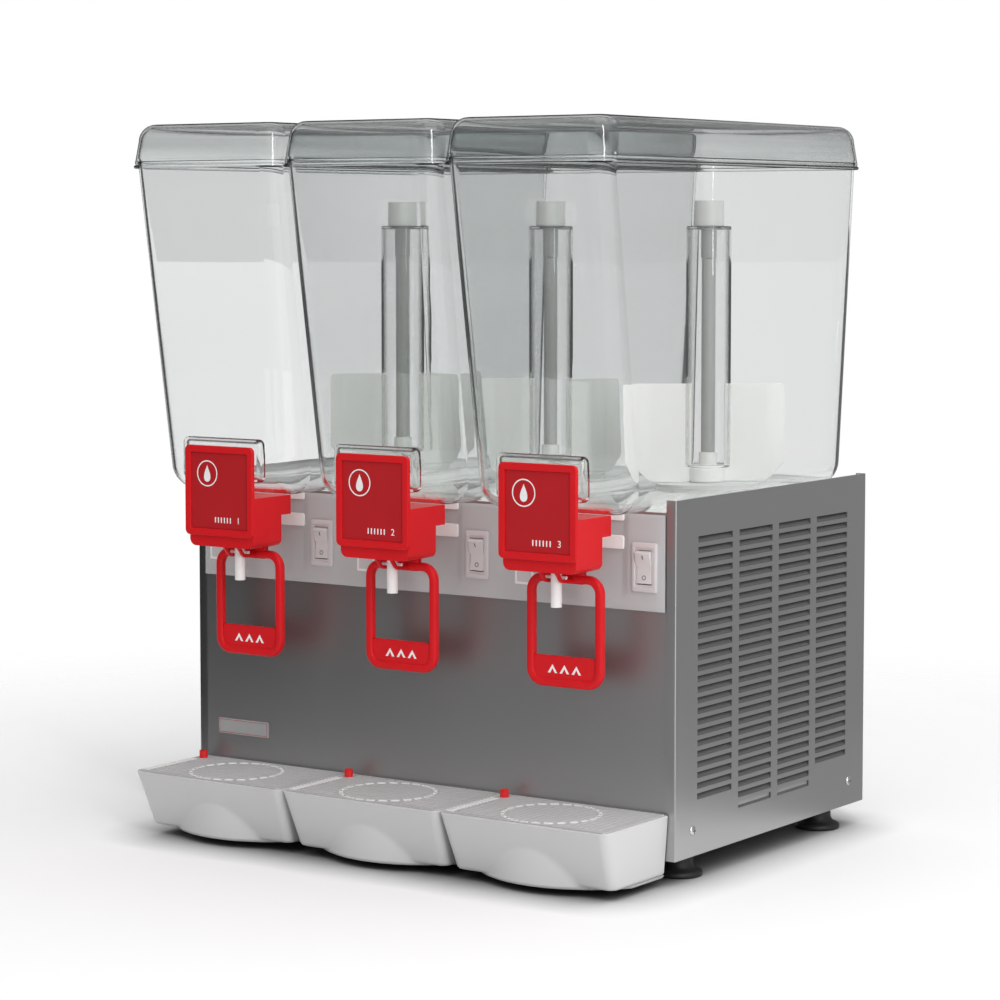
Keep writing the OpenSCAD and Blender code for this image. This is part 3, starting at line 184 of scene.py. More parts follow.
def rounded(left, right, low, high, radius, arc=6, along=(), up=()):
    """A rectangle with round corners, anticlockwise from its low right corner.

    Each corner is a quarter circle of arc steps. along and up give extra points on the level and the upright
    sides, as shares of the straight run between two corners.
    """
    quarter = np.linspace(0, math.pi / 2, arc + 1)
    middles = np.array([[right - radius, low + radius], [right - radius, high - radius],
                        [left + radius, high - radius], [left + radius, low + radius]])
    arcs = []
    for k, middle in enumerate(middles):
        angle = quarter + (k - 1) * math.pi / 2
        arcs.append(middle + radius * np.stack([np.cos(angle), np.sin(angle)], 1))
    points = []
    for k in range(4):
        start = arcs[k][-1]
        end = arcs[(k + 1) % 4][0]
        share = np.asarray(up if k % 2 == 0 else along, float)
        if k >= 2:
            share = 1 - share[::-1]
        points += [arcs[k], start + share[:, None] * (end - start)]
    return np.concatenate(points)


def drawn_in(outline, amount):
    """An outline moved inwards by amount, along the mean of the normals of its two sides at each point."""
    side = np.roll(outline, -1, 0) - outline
    side /= np.linalg.norm(side, axis=1)[:, None] + 1e-12
    normal = np.stack([side[:, 1], -side[:, 0]], 1)
    mean = normal + np.roll(normal, 1, 0)
    mean /= np.maximum((mean * normal).sum(1), 0.3)[:, None]
    return outline - amount * mean


def laid(outline, depth, axis):
    """A flat outline in space, with its depth along the named axis."""
    first, second = outline[:, 0], outline[:, 1]
    level = np.full(len(outline), depth)
    order = {"x": (level, first, second), "y": (first, level, second), "z": (first, second, level)}
    return np.stack(order[axis], 1)


def grid_faces(rows, columns, loop_rows=False, loop_columns=True):
    """Four-sided faces between neighbouring points of a grid that is counted row by row."""
    row = np.arange(rows if loop_rows else rows - 1)[:, None]
    column = np.arange(columns if loop_columns else columns - 1)[None]
    below = (row + 1) % rows
    beside = (column + 1) % columns
    faces = [row * columns + column, row * columns + beside, below * columns + beside,
             below * columns + column]
    return np.stack(np.broadcast_arrays(*faces), -1).reshape(-1, 4)


def loft(rows, loop=False):
    """A skin over a stack of closed rows of equal count, closed by a face at each end or by its first row."""
    rows = np.asarray(rows)
    count, width = rows.shape[:2]
    faces = grid_faces(count, width, loop).tolist()
    if not loop:
        faces.append(list(range(width))[::-1])
        faces.append(list(range((count - 1) * width, count * width)))
    return rows.reshape(-1, 3), faces


def plate(outline, near, far, edge, axis, steps=3):
    """An outline between two depths along an axis, with a quarter round along both edges.

    A row just inside each round keeps the flat faces' shading flat.
    """
    turn = np.linspace(0, math.pi / 2, steps + 1)
    way = math.copysign(edge, far - near)
    hold = 1.3
    inner = drawn_in(outline, edge * hold)
    rows = [laid(inner, near, axis)]
    for a in turn:
        rows.append(laid(drawn_in(outline, edge * (1 - math.sin(a))), near + way * (1 - math.cos(a)), axis))
    for a in turn:
        rows.append(laid(drawn_in(outline, edge * (1 - math.cos(a))), far - way * (1 - math.sin(a)), axis))
    rows.append(laid(inner, far, axis))
    return loft(rows)


def eased(points, cut, steps=4):
    """A line of points with each inner corner replaced by a curve that starts and ends a cut away.

    A point a little beyond each end of a curve keeps the straight runs' shading straight.
    """
    points = np.asarray(points, float)
    share = np.linspace(0, 1, steps + 1)[:, None]
    hold = 1.2
    most = 0.4
    result = [points[:1]]
    for before, corner, after in zip(points, points[1:], points[2:]):
        back = before - corner
        ahead = after - corner
        reach = min(cut, np.linalg.norm(back) * most, np.linalg.norm(ahead) * most)
        start = back * reach / np.linalg.norm(back)
        end = ahead * reach / np.linalg.norm(ahead)
        result.append([corner + start * hold])
        result.append(corner + (1 - share) ** 2 * start + share ** 2 * end)
        result.append([corner + end * hold])
    result.append(points[-1:])
    return np.concatenate(result)


def turned(profile, centre, axis="z", steps=48, loop=False):
    """A profile of radius and height carried round an axis through centre."""
    profile = np.asarray(profile, float)
    angle = np.linspace(0, 2 * math.pi, steps, endpoint=False)
    across = profile[:, :1] * np.cos(angle)
    over = profile[:, :1] * np.sin(angle)
    along = np.repeat(profile[:, 1:], steps, 1)
    order = {"x": (along, across, over), "y": (across, along, over), "z": (across, over, along)}
    return loft(np.stack(order[axis], -1) + np.asarray(centre), loop)


def swept(path, sideways, binormal, section, loop=False):
    """A flat section carried along a path, its first direction sideways and its second along the binormal."""
    across = section[None, :, :1] * sideways[:, None]
    along = section[None, :, 1:] * np.asarray(binormal)
    return loft(path[:, None] + across + along, loop)


def joined(parts):
    """Several skins as one list of points and one of faces."""
    points = []
    faces = []
    start = 0
    for some_points, some_faces in parts:
        points.append(some_points)
        faces += [[index + start for index in face] for face in some_faces]
        start += len(some_points)
    return np.concatenate(points), faces


def closed_mesh(name, points, faces):
    """A mesh with its doubles merged and its faces turned outwards."""
    mesh = bpy.data.meshes.new(name)
    mesh.from_pydata(np.asarray(points).tolist(), [], faces)
    work = bmesh.new()
    work.from_mesh(mesh)
    bmesh.ops.remove_doubles(work, verts=work.verts, dist=DOUBLES)
    bmesh.ops.recalc_face_normals(work, faces=work.faces)
    work.to_mesh(mesh)
    work.free()
    return mesh


def shown(name, mesh, material, crease):
    """An object of a mesh in one material, shaded smooth up to a crease."""
    mesh.materials.clear()
    mesh.materials.append(material)
    mesh.polygons.foreach_set("use_smooth", np.ones(len(mesh.polygons), bool))
    mesh.set_sharp_from_angle(angle=math.radians(crease))
    thing = bpy.data.objects.new(name, mesh)
    bpy.context.scene.collection.objects.link(thing)
    return thing


def add_piece(name, parts, material, body, stands_for=(), crease=SMOOTH_CREASE):
    """Adds one finished piece that rides on a body and may stand for nodes of the frame."""
    thing = shown(name, closed_mesh(name, *joined(parts)), material, crease)
    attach(thing, body)
    if stands_for:
        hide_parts(*stands_for)
    return thing


def thickened(thing, thickness):
    """Gives an open skin its thickness inwards, with its free edges kept sharp."""
    mesh = thing.data
    used = np.zeros(len(mesh.loops), int)
    mesh.loops.foreach_get("edge_index", used)
    free = np.bincount(used, minlength=len(mesh.edges)) == 1
    sharp = np.zeros(len(mesh.edges), bool)
    mesh.edges.foreach_get("use_edge_sharp", sharp)
    mesh.edges.foreach_set("use_edge_sharp", sharp | free)
    solid = thing.modifiers.new("Thickness", "SOLIDIFY")
    solid.thickness = thickness
    solid.offset = -1


def softened(name, node, material, body, width):
    """A copy of a frame node with its doubles merged, its flat faces joined and its sharp edges rounded."""
    flat = math.radians(1)
    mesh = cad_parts[node].data.copy()
    mesh.name = name
    work = bmesh.new()
    work.from_mesh(mesh)
    bmesh.ops.remove_doubles(work, verts=work.verts, dist=DOUBLES)
    bmesh.ops.dissolve_limit(work, angle_limit=flat, verts=work.verts, edges=work.edges)
    work.to_mesh(mesh)
    work.free()
    thing = shown(name, mesh, material, SMOOTH_CREASE)
    bevel = thing.modifiers.new("Soft edges", "BEVEL")
    bevel.width = width
    bevel.segments = 2
    bevel.limit_method = "ANGLE"
    bevel.angle_limit = math.radians(40)
    bevel.harden_normals = True
    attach(thing, body)
    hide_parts(node)
    return thing


def dress(node, material):
    """Gives a frame node, kept as it is, a finished material."""
    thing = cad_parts[node]
    thing.data.materials.clear()
    thing.data.materials.append(material)


# Materials


def link(tree, source, output, target, socket):
    """Joins one node's output to another node's input."""
    tree.links.new(source.outputs[output], target.inputs[socket])


def new_group(name, inputs, outputs):
    """An empty shader node group with its sockets, and its input and output nodes."""
    tree = bpy.data.node_groups.new(name, "ShaderNodeTree")
    for socket, kind, value in inputs:
        made = tree.interface.new_socket(socket, in_out="INPUT", socket_type=kind)
        made.default_value = value
    for socket, kind in outputs:
        tree.interface.new_socket(socket, in_out="OUTPUT", socket_type=kind)
    return tree, tree.nodes.new("NodeGroupInput"), tree.nodes.new("NodeGroupOutput")


def spread(tree, source, output, low, high, start=0.0, end=1.0):
    """Maps a value from start..end to low..high."""
    node = tree.nodes.new("ShaderNodeMapRange")
    for socket, value in (("From Min", start), ("From Max", end), ("To Min", low), ("To Max", high)):
        node.inputs[socket].default_value = value
    link(tree, source, output, node, "Value")
    return node


def combined(tree, operation, first, *numbers):
    """A math node fed by one output, then by outputs and numbers in the order given."""
    node = tree.nodes.new("ShaderNodeMath")
    node.operation = operation
    for socket, value in enumerate((first, *numbers)):
        if isinstance(value, tuple):
            link(tree, *value, node, socket)
        else:
            node.inputs[socket].default_value = value
    return node


def scaled(tree, source, output):
    """A vector node whose scale comes from an output."""
    node = tree.nodes.new("ShaderNodeVectorMath")
    node.operation = "SCALE"
    link(tree, source, output, node, "Scale")
    return node


def scaled_tint(tree, source, output):
    """Scales the tint that reaches a material's shader."""
    shader = tree.nodes["Principled BSDF"]
    tint = scaled(tree, source, output)
    tree.links.new(shader.inputs["Base Color"].links[0].from_socket, tint.inputs[0])
    link(tree, tint, "Vector", shader, "Base Color")


def object_axes(tree):
    """The place on the object, split into its three axes."""
    place = tree.nodes.new("ShaderNodeTexCoord")
    split = tree.nodes.new("ShaderNodeSeparateXYZ")
    link(tree, place, "Object", split, "Vector")
    return split


def mixed(tree, share, output, first, second, sink):
    """Two shaders mixed by a share, as the surface that a sink shows."""
    mix = tree.nodes.new("ShaderNodeMixShader")
    link(tree, share, output, mix, 0)
    tree.links.new(first.outputs[0], mix.inputs[1])
    tree.links.new(second.outputs[0], mix.inputs[2])
    link(tree, mix, "Shader", sink, "Surface")
    return mix


def varied_group():
    """Slow noise shades a colour and a roughness, and fine noise gives a grain height."""
    name = "Varied surface"
    if name in bpy.data.node_groups:
        return bpy.data.node_groups[name]
    tree, source, sink = new_group(
        name,
        [("Color", "NodeSocketColor", (0.5, 0.5, 0.5, 1)), ("Roughness", "NodeSocketFloat", 0.4),
         ("Stretch", "NodeSocketVector", (1, 1, 1)), ("Scale", "NodeSocketFloat", 30),
         ("Grain Scale", "NodeSocketFloat", 900), ("Shade", "NodeSocketFloat", 0.06),
         ("Rub", "NodeSocketFloat", 0.15)],
        [("Color", "NodeSocketColor"), ("Roughness", "NodeSocketFloat"), ("Height", "NodeSocketFloat")])
    place = tree.nodes.new("ShaderNodeTexCoord")
    stretch = tree.nodes.new("ShaderNodeVectorMath")
    stretch.operation = "MULTIPLY"
    link(tree, place, "Object", stretch, 0)
    link(tree, source, "Stretch", stretch, 1)
    slow = tree.nodes.new("ShaderNodeTexNoise")
    slow.inputs["Detail"].default_value = 4
    link(tree, stretch, "Vector", slow, "Vector")
    link(tree, source, "Scale", slow, "Scale")
    fine = tree.nodes.new("ShaderNodeTexNoise")
    fine.inputs["Detail"].default_value = 2
    link(tree, stretch, "Vector", fine, "Vector")
    link(tree, source, "Grain Scale", fine, "Scale")
    swing = (spread(tree, slow, "Fac", -1, 1), "Result")
    shade = combined(tree, "MULTIPLY_ADD", swing, (source, "Shade"), 1)
    colour = scaled(tree, shade, "Value")
    link(tree, source, "Color", colour, 0)
    rub = combined(tree, "MULTIPLY_ADD", swing, (source, "Rub"), 1)
    rough = combined(tree, "MULTIPLY", (rub, "Value"), (source, "Roughness"))
    link(tree, colour, "Vector", sink, "Color")
    link(tree, rough, "Value", sink, "Roughness")
    link(tree, fine, "Fac", sink, "Height")
    return tree


def surface(name, colour, roughness, sockets=None, bump=0.05, distance=0.0003, **values):
    """A material whose colour, roughness and grain come from the varied surface group."""
    label = f"{name}_look"
    if label in bpy.data.materials:
        return bpy.data.materials[label]
    material = bpy.data.materials.new(label)
    material.use_nodes = True
    tree = material.node_tree
    shader = tree.nodes["Principled BSDF"]
    for socket, value in (sockets or {}).items():
        shader.inputs[socket].default_value = value
    group = tree.nodes.new("ShaderNodeGroup")
    group.node_tree = varied_group()
    group.inputs["Color"].default_value = (*colour, 1)
    group.inputs["Roughness"].default_value = roughness
    for socket, value in values.items():
        group.inputs[socket.replace("_", " ").title()].default_value = value
    relief = tree.nodes.new("ShaderNodeBump")
    relief.inputs["Strength"].default_value = bump
    relief.inputs["Distance"].default_value = distance
    link(tree, group, "Color", shader, "Base Color")
    link(tree, group, "Roughness", shader, "Roughness")
    link(tree, group, "Height", relief, "Height")
    link(tree, relief, "Normal", shader, "Normal")
    return material


def lit_through(material):
    """Lets lamps and soft light pass straight through a clear material."""
    tree = material.node_tree
    name = "Passing light"
    if name in tree.nodes:
        return material
    path = tree.nodes.new("ShaderNodeLightPath")
    either = combined(tree, "MAXIMUM", (path, "Is Shadow Ray"), (path, "Is Diffuse Ray"))
    passing = tree.nodes.new("ShaderNodeBsdfTransparent")
    passing.inputs["Color"].default_value = (0.97, 0.975, 0.97, 1)
    mix = mixed(tree, either, "Value", tree.nodes["Principled BSDF"], passing, tree.nodes["Material Output"])
    mix.name = name
    return material


def clear_surface(name, tint, roughness, bend, **waves):
    """A clear plastic of a tint and an index of refraction, with faint waves, that lets light through."""
    glass = {"Transmission Weight": 1.0, "IOR": bend}
    return lit_through(surface(name, tint, roughness, glass, shade=0.004, rub=0.3, **waves))


def moulded_clear(name, tint):
    """Clear moulded plastic with faint flow waves."""
    return clear_surface(name, tint, 0.012, 1.46, bump=0.03, distance=0.002, scale=9, grain_scale=7)


def clear_plastic():
    """The tanks' clear plastic."""
    return moulded_clear("clear_plastic", finish().clear)


def darker_edge(material, start, full, share, flat=(), climb=None):
    """Scales a clear material's tint down to a share where it is seen edge on, from a start to full effect.

    A climb of two heights and a share scales it further down between the heights, and flats at the heights
    given keep their tint. Both darkenings are painted shade, not the plastic's own tint.
    """
    tree = material.node_tree
    name = "Edge on"
    if name in tree.nodes:
        return material
    near = 0.0001
    weight = tree.nodes.new("ShaderNodeLayerWeight")
    weight.name = name
    # Painted shade: the tint is scaled darker where the surface is seen edge on.
    source = (spread(tree, weight, "Facing", 1, share, start, full), "Result")
    axes = object_axes(tree)
    if climb:
        foot, head, left = climb
        # Painted shade: the tint is scaled darker between the climb's two heights.
        shade = spread(tree, axes, "Z", 1, left, foot, head)
        source = (combined(tree, "MULTIPLY", source, (shade, "Result")), "Value")
    for level in flat:
        here = combined(tree, "COMPARE", (axes, "Z"), level, near)
        source = (combined(tree, "MAXIMUM", source, (here, "Value")), "Value")
    scaled_tint(tree, *source)
    return material


def clear_lid():
    """Clear lid plastic, a little greener than the tanks, with painted shade that darkens its tint along its
    rounds and upper sides.
    """
    top = corners("tank_lid_1")[1][2]
    flats = (top, top - shapes().lid_wall)
    # Painted shade: the lid's round and upper sides get a darker tint.
    climb = (top - 0.03, top - 0.02, 0.88)
    return darker_edge(moulded_clear("clear_lid", (0.925, 0.945, 0.942)), 0.42, 0.75, 0.1, flats, climb)


def clear_tube():
    """Clear drawn tube, with painted shade that darkens its tint along its edges where it is seen edge on."""
    tube = clear_surface("clear_tube", (0.99, 0.992, 0.991), 0.01, 1.45, bump=0.02, distance=0.001, scale=12,
                         grain_scale=10)
    return darker_edge(tube, 0.36, 0.5, 0.55)


def brushed_steel(name, roughness):
    """Steel sheet with fine upright brushing."""
    return surface(name, finish().steel, roughness, {"Metallic": 1.0}, bump=0.006, stretch=(40, 40, 1),
                   scale=14, grain_scale=60, shade=0.012, rub=0.06)


def side_steel():
    """The side panels' brushed sheet."""
    return brushed_steel("side_steel", 0.3)


def front_steel():
    """The front panel's brushed sheet, which mirrors more softly."""
    return brushed_steel("front_steel", 0.46)


def louvre_steel():
    """Steel of the louvres' pressed flaps, painted dark as the shade inside the slots."""
    return surface("louvre_steel", (0.085, 0.085, 0.086), 0.5, scale=40, shade=0.05, rub=0.1)


def zinc_sheet():
    """Zinc coated sheet with a slow spangle."""
    return surface("zinc_sheet", (0.52, 0.53, 0.54), 0.42, {"Metallic": 0.9}, scale=60, shade=0.12, rub=0.25)


def white_enamel():
    """White enamel on sheet."""
    return surface("white_enamel", (0.82, 0.825, 0.82), 0.25, scale=20, shade=0.02)


def fascia_plastic():
    """Satin lilac-grey moulding."""
    return surface("fascia_plastic", finish().fascia, 0.42, scale=18, shade=0.03, bump=0.08)


def black_rubber():
    """Matt black rubber."""
    return surface("black_rubber", (0.012, 0.012, 0.012), 0.55, scale=80, shade=0.3, bump=0.2)


def bright_screw():
    """Bright plated steel."""
    return surface("bright_screw", (0.72, 0.72, 0.73), 0.18, {"Metallic": 1.0}, scale=150, shade=0.05)


def red_moulding():
    """Semi-gloss red moulding."""
    return surface("red_moulding", finish().red, 0.3, {"Specular IOR Level": 0.2}, scale=24, shade=0.05,
                   bump=0.04)


def red_panel():
    """Darker satin red of the covers' sunk panels."""
    return surface("red_panel", finish().red_panel, 0.42, {"Specular IOR Level": 0.2}, scale=24, shade=0.04,
                   bump=0.08)


def red_float():
    """Bright red float plastic."""
    return surface("red_float", (0.75, 0.012, 0.014), 0.3, scale=60, shade=0.05)


def white_moulding():
    """White moulded plastic, also put on the grids' lips and teeth as painted highlights."""
    return surface("white_moulding", finish().white, 0.35, scale=20, shade=0.025, bump=0.05)


def cap_moulding():
    """The agitators' white caps, painted darker than the white moulding as shade against the stronger light
    they get from above.
    """
    return surface("cap_moulding", (0.63, 0.63, 0.625), 0.4, scale=30, shade=0.03, bump=0.05)


def rocker_moulding():
    """Satin white of the rockers."""
    return surface("rocker_moulding", (0.66, 0.65, 0.65), 0.36, scale=30, shade=0.025, bump=0.05)


def grey_sleeve():
    """Grey plastic of the sleeves under the agitators' caps."""
    return surface("grey_sleeve", (0.4, 0.402, 0.402), 0.38, scale=40, shade=0.05)


def chimney_steel():
    """Satin steel of the shafts."""
    return surface("chimney_steel", (0.2, 0.203, 0.203), 0.36, {"Metallic": 0.2}, scale=40, shade=0.05)


def evaporator_steel():
    """Bright dishes that turn into grey chimneys above the tanks' floors."""
    material = surface("evaporator_steel", (0.72, 0.725, 0.72), 0.36, scale=40, shade=0.05)
    tree = material.node_tree
    name = "Up the chimney"
    if name in tree.nodes:
        return material
    dish_h = 0.012
    blend = 0.01
    grey_share = 0.58
    dish_top = corners("top_deck")[1][2] + dish_h
    keep = spread(tree, object_axes(tree), "Z", 1, grey_share, dish_top, dish_top + blend)
    keep.name = name
    scaled_tint(tree, keep, "Result")
    return material


def tray_plastic():
    """Satin off-white moulding."""
    return surface("tray_plastic", finish().tray, 0.38, scale=14, shade=0.02, bump=0.06)


def grid_plastic():
    """Satin light grey moulding."""
    return surface("grid_plastic", finish().grid, 0.4, scale=20, shade=0.04, bump=0.08)


def bezel_plastic():
    """Pale grey switch frame."""
    return surface("bezel_plastic", (0.62, 0.59, 0.6), 0.32, scale=40, shade=0.03)


def ledge_plastic():
    """Pale ledge bars under the tanks' outlets."""
    return surface("ledge_plastic", (0.95, 0.94, 0.94), 0.35, scale=40, shade=0.03)


def plate_metal():
    """Satin grey of the bare plate."""
    return surface("plate_metal", (0.36, 0.36, 0.36), 0.4, scale=60, shade=0.04)


def white_print():
    """White printed marks."""
    return surface("white_print", (0.86, 0.86, 0.86), 0.5, scale=200, shade=0.06)


def dark_print():
    """Grey printed marks, and the painted shade of the screws' cross recesses."""
    return surface("dark_print", (0.16, 0.15, 0.16), 0.5, scale=200, shade=0.1)


def motor_paint():
    """Dark paint of the motors."""
    return plain("motor_paint", (0.09, 0.095, 0.1), 0.45, 0.3)


def plain(name, colour, roughness, metallic=0.0):
    """A varied finish for the pieces inside the cabinet."""
    return surface(name, colour, roughness, {"Metallic": metallic}, scale=50, shade=0.08, rub=0.2)


# Pieces


def tank_floor_shares(floor_low, floor_high, half, middle, steps=22):
    """Shares along a tank's side at which points stand at equal angles round the column's axis."""
    first = math.atan2(floor_low - middle, half)
    last = math.atan2(floor_high - middle, half)
    angle = np.linspace(first, last, steps)[1:-1]
    return (middle + half * np.tan(angle) - floor_low) / (floor_high - floor_low)


class TankForm:
    """Sections of one tank: a rounded rectangle that widens upwards, over a rounded bottom."""

    side_lean = 0.003
    front_lean = 0.035
    rear_lean = 0.014
    hole_gap = 0.0003
    least_radius = 0.0004

    def __init__(self, n):
        """Takes a tank's sizes from the frame."""
        low, high = corners(f"tank_{n}")
        deck = corners("top_deck")[1][2]
        self.x = middle_x(n)
        self.half = (high[0] - low[0]) / 2
        self.front = low[1]
        self.back = high[1]
        self.floor = deck
        self.rim = high[2]
        self.bottom = shapes().tank_bottom
        self.corner = shapes().tank_corner
        dish_low, dish_high = corners("tank_gaskets")
        self.column_y = (dish_low[1] + dish_high[1]) / 2
        self.hole = (dish_high[1] - dish_low[1]) / 2 + self.hole_gap
        floor_low = self.front + self.front_lean + self.bottom
        floor_high = self.back - self.rear_lean - self.bottom
        floor_half = self.half - self.side_lean - self.bottom
        self.shares = tank_floor_shares(floor_low, floor_high, floor_half, self.column_y)

    def section(self, rise, inset, spare):
        """Outline at a share of the wall's height, drawn in by inset, with its corner radius less spare."""
        lean = 1 - rise
        radius = self.bottom * lean + self.corner * rise - spare
        half = self.half - self.side_lean * lean - inset
        front = self.front + self.front_lean * lean + inset
        back = self.back - self.rear_lean * lean - inset
        return rounded(self.x - half, self.x + half, front, back, max(radius, self.least_radius), arc=7,
                       along=(0.2, 0.4, 0.6, 0.8), up=self.shares)

    def wall(self, inset, top):
        """Rows from the floor's flat up the bottom's round and the wall to the rim, drawn in by inset."""
        rows = []
        for angle in np.linspace(0, math.pi / 2, 9)[:-1]:
            shrink = self.bottom - (self.bottom - inset) * math.sin(angle)
            level = self.floor + self.bottom - (self.bottom - inset) * math.cos(angle)
            rows.append(laid(self.section(0, shrink, shrink), level, "z"))
        for share in (0, 0.02, 0.2, 0.4, 0.6, 0.8, 0.985, 1):
            level = self.floor + self.bottom + share * (top - self.floor - self.bottom)
            rows.append(laid(self.section(share, inset, inset), level, "z"))
        return rows

    def hole_row(self, like, level):
        """The floor opening's edge, with one point for each point of a row."""
        angle = np.arctan2(like[:, 1] - self.column_y, like[:, 0] - self.x)
        ring = np.stack([self.x + self.hole * np.cos(angle), self.column_y + self.hole * np.sin(angle)], 1)
        return laid(ring, level, "z")


def tank_parts(n):
    """One tank: shell with an open floor ring and a rounded rim, outlet chamber and outlet neck."""
    form = TankForm(n)
    wall = shapes().tank_wall
    lip = wall / 2
    outer = form.wall(0, form.rim - lip)
    inner = form.wall(wall, form.rim - lip)
    lip_rows = []
    for angle in np.linspace(0, math.pi, 7)[1:-1]:
        inset = lip - lip * math.cos(angle)
        lip_rows.append(laid(form.section(1, inset, inset), form.rim - lip + lip * math.sin(angle), "z"))
    rows = [form.hole_row(outer[0], form.floor)] + outer + lip_rows + inner[::-1]
    rows.append(form.hole_row(inner[0], form.floor + wall))
    shell = loft(rows, loop=True)
    chamber = chamber_part(form, corners(f"tap_cover_{n}")[1][1], wall)
    return [shell, chamber, neck_part(form, n)]


def neck_part(form, n):
    """The outlet neck: a turned sleeve under the floor, narrowed to a smaller bore at its foot."""
    foot_r = 0.006
    bore_r = 0.0092
    outer_r = 0.0125
    foot_h = 0.002
    lap = 0.004
    edge = 0.0005
    piston_low, piston_high = corners(f"tap_piston_{n}")
    y = (piston_low[1] + piston_high[1]) / 2
    low = corners(f"tank_{n}")[0][2]
    top = form.floor + lap
    shelf = low + foot_h
    profile = [(foot_r, low), (outer_r, low), (outer_r, top), (bore_r, top), (bore_r, shelf), (foot_r, shelf),
               (foot_r, low)]
    return turned(eased(profile, edge), (form.x, y, 0), loop=True)


def chamber_part(form, front, wall):
    """The clear outlet chamber: a round-edged box that is open towards the tank."""
    half = 0.0465
    lift = 0.012
    tall = 0.04
    corner = 0.006
    least = 0.001
    lap = 0.001
    edge = 0.0025
    low = form.floor + lift
    high = low + tall
    back = form.front + form.front_lean - lap
    rows = []

    def ring(inset, depth):
        """Adds the box's outline, drawn in by an inset, at a depth."""
        reach = half - inset
        radius = max(corner - inset, least)
        outline = rounded(form.x - reach, form.x + reach, low + inset, high - inset, radius)
        rows.append(laid(outline, depth, "y"))

    for angle in np.linspace(0, math.pi / 2, 4):
        ring(edge * (1 - math.sin(angle)), front + edge * (1 - math.cos(angle)))
    ring(0, back)
    ring(wall, back)
    for angle in np.linspace(math.pi / 2, 0, 4):
        ring(wall + edge * (1 - math.sin(angle)), front + wall + edge * (1 - math.cos(angle)))
    return loft(rows)


class DISPENSER_OT_tanks(bpy.types.Operator):
    """Builds the three clear tanks"""

    bl_idname = "dispenser.tanks"
    bl_label = "Tanks"

    def execute(self, context):
        """One shell for each channel."""
        for n in CHANNELS:
            add_piece(f"tank_shell_{n}", tank_parts(n), clear_plastic(), f"tank_{n}",
                      [f"tank_{n}"])
        return {"FINISHED"}


def lid_parts(n):
    """One lid: rolled lower rim, leaning sides, a round along the top edge and a flat top of even wall.

    The rows run from the middle of the flat's underside down the inside, round the rim and up the outside.
    """
    form = TankForm(n)
    low, high = corners(f"tank_lid_{n}")
    reach = (high[0] - low[0]) / 2
    over = reach - form.half
    wall = shapes().lid_wall
    round_ = shapes().lid_round
    bead = 0.0017
    lean = 0.002
    fuller = 0.004
    skirt = over - 0.0004
    seat = over + 0.0025
    waist = bead * 0.7
    shoulder = waist + lean
    thick = shoulder + wall
    corner = form.corner + over
    least_radius = 0.0005
    quarters = (0.25, 0.5, 0.75)
    flat_shares = (0.02, 0.25, 0.6, 0.98)

    def row(inset, level, radius):
        """The lid's outline, drawn in by an inset, at a level."""
        outline = rounded(form.x - reach + inset, form.x + reach - inset, low[1] + inset, high[1] - inset,
                          max(radius, least_radius), arc=7, along=quarters, up=quarters)
        return laid(outline, level, "z")

    def flat_row(share, level):
        """A share of the flat's outline, towards its middle."""
        half = reach - shoulder - round_
        return row(reach - half * share, level, (corner - shoulder - round_ + fuller) * share)

    def round_row(angle, radius):
        """The outline at an angle round the top edge."""
        inset = shoulder + round_ - radius * math.cos(angle)
        return row(inset, high[2] - round_ + radius * math.sin(angle), corner - inset + fuller)

    turn = np.linspace(0, math.pi / 2, 8)
    rows = [flat_row(share, high[2] - wall) for share in flat_shares]
    rows += [round_row(angle, round_ - wall) for angle in turn[::-1]]
    for inset, level in ((thick, form.rim + 2 * wall), (thick, form.rim + wall), (seat, form.rim + wall),
                         (seat, form.rim), (skirt, form.rim), (skirt, low[2] + bead)):
        rows.append(row(inset, level, corner - inset))
    for angle in np.linspace(-math.pi / 2, math.pi / 2, 7):
        inset = bead - bead * math.cos(angle)
        rows.append(row(inset, low[2] + bead + bead * math.sin(angle), corner - inset))
    rows.append(row(waist, low[2] + 3 * bead, corner - waist))
    rows += [round_row(angle, round_) for angle in turn]
    rows += [flat_row(share, high[2]) for share in flat_shares[::-1]]
    return [loft(rows)]


class DISPENSER_OT_lids(bpy.types.Operator):
    """Builds the three clear lids"""

    bl_idname = "dispenser.lids"
    bl_label = "Lids"

    def execute(self, context):
        """One lid for each channel."""
        for n in CHANNELS:
            add_piece(f"lid_shell_{n}", lid_parts(n), clear_lid(), f"lid_{n}",
                      [f"tank_lid_{n}"])
        return {"FINISHED"}


def paddle_part(x, y, root, tip, low, high, turn):
    """One paddle: an upright section carried outwards along a line that bends near its outer edge."""
    bend = math.radians(25)
    strip = 0.015
    cut = 0.02
    corner = 0.004
    half_t = 0.00125
    bevel = 0.0006
    steps = 8
    out = np.concatenate([np.linspace(root, tip - strip, steps), np.linspace(tip - strip, tip, steps)[1:]])
    past = np.maximum(out - (tip - strip), 0)
    along = np.minimum(out, tip - strip) + past * math.cos(bend)
    aside = past * math.sin(bend)
    bottom = low + np.maximum(out - (tip - cut), 0)
    top = high - corner + np.sqrt(np.maximum(corner ** 2 - np.maximum(out - (tip - corner), 0) ** 2, 0))
    levels = np.stack([bottom, bottom + bevel, top - bevel, top, top, top - bevel, bottom + bevel, bottom], 1)
    flank = np.array([half_t - bevel, half_t, half_t, half_t - bevel])
    sides = np.concatenate([flank, -flank])
    u = np.repeat(along[:, None], len(sides), 1)
    v = aside[:, None] + sides[None]
    across = x + u * math.cos(turn) - v * math.sin(turn)
    over = y + u * math.sin(turn) + v * math.cos(turn)
    return loft(np.stack([across, over, levels], -1))


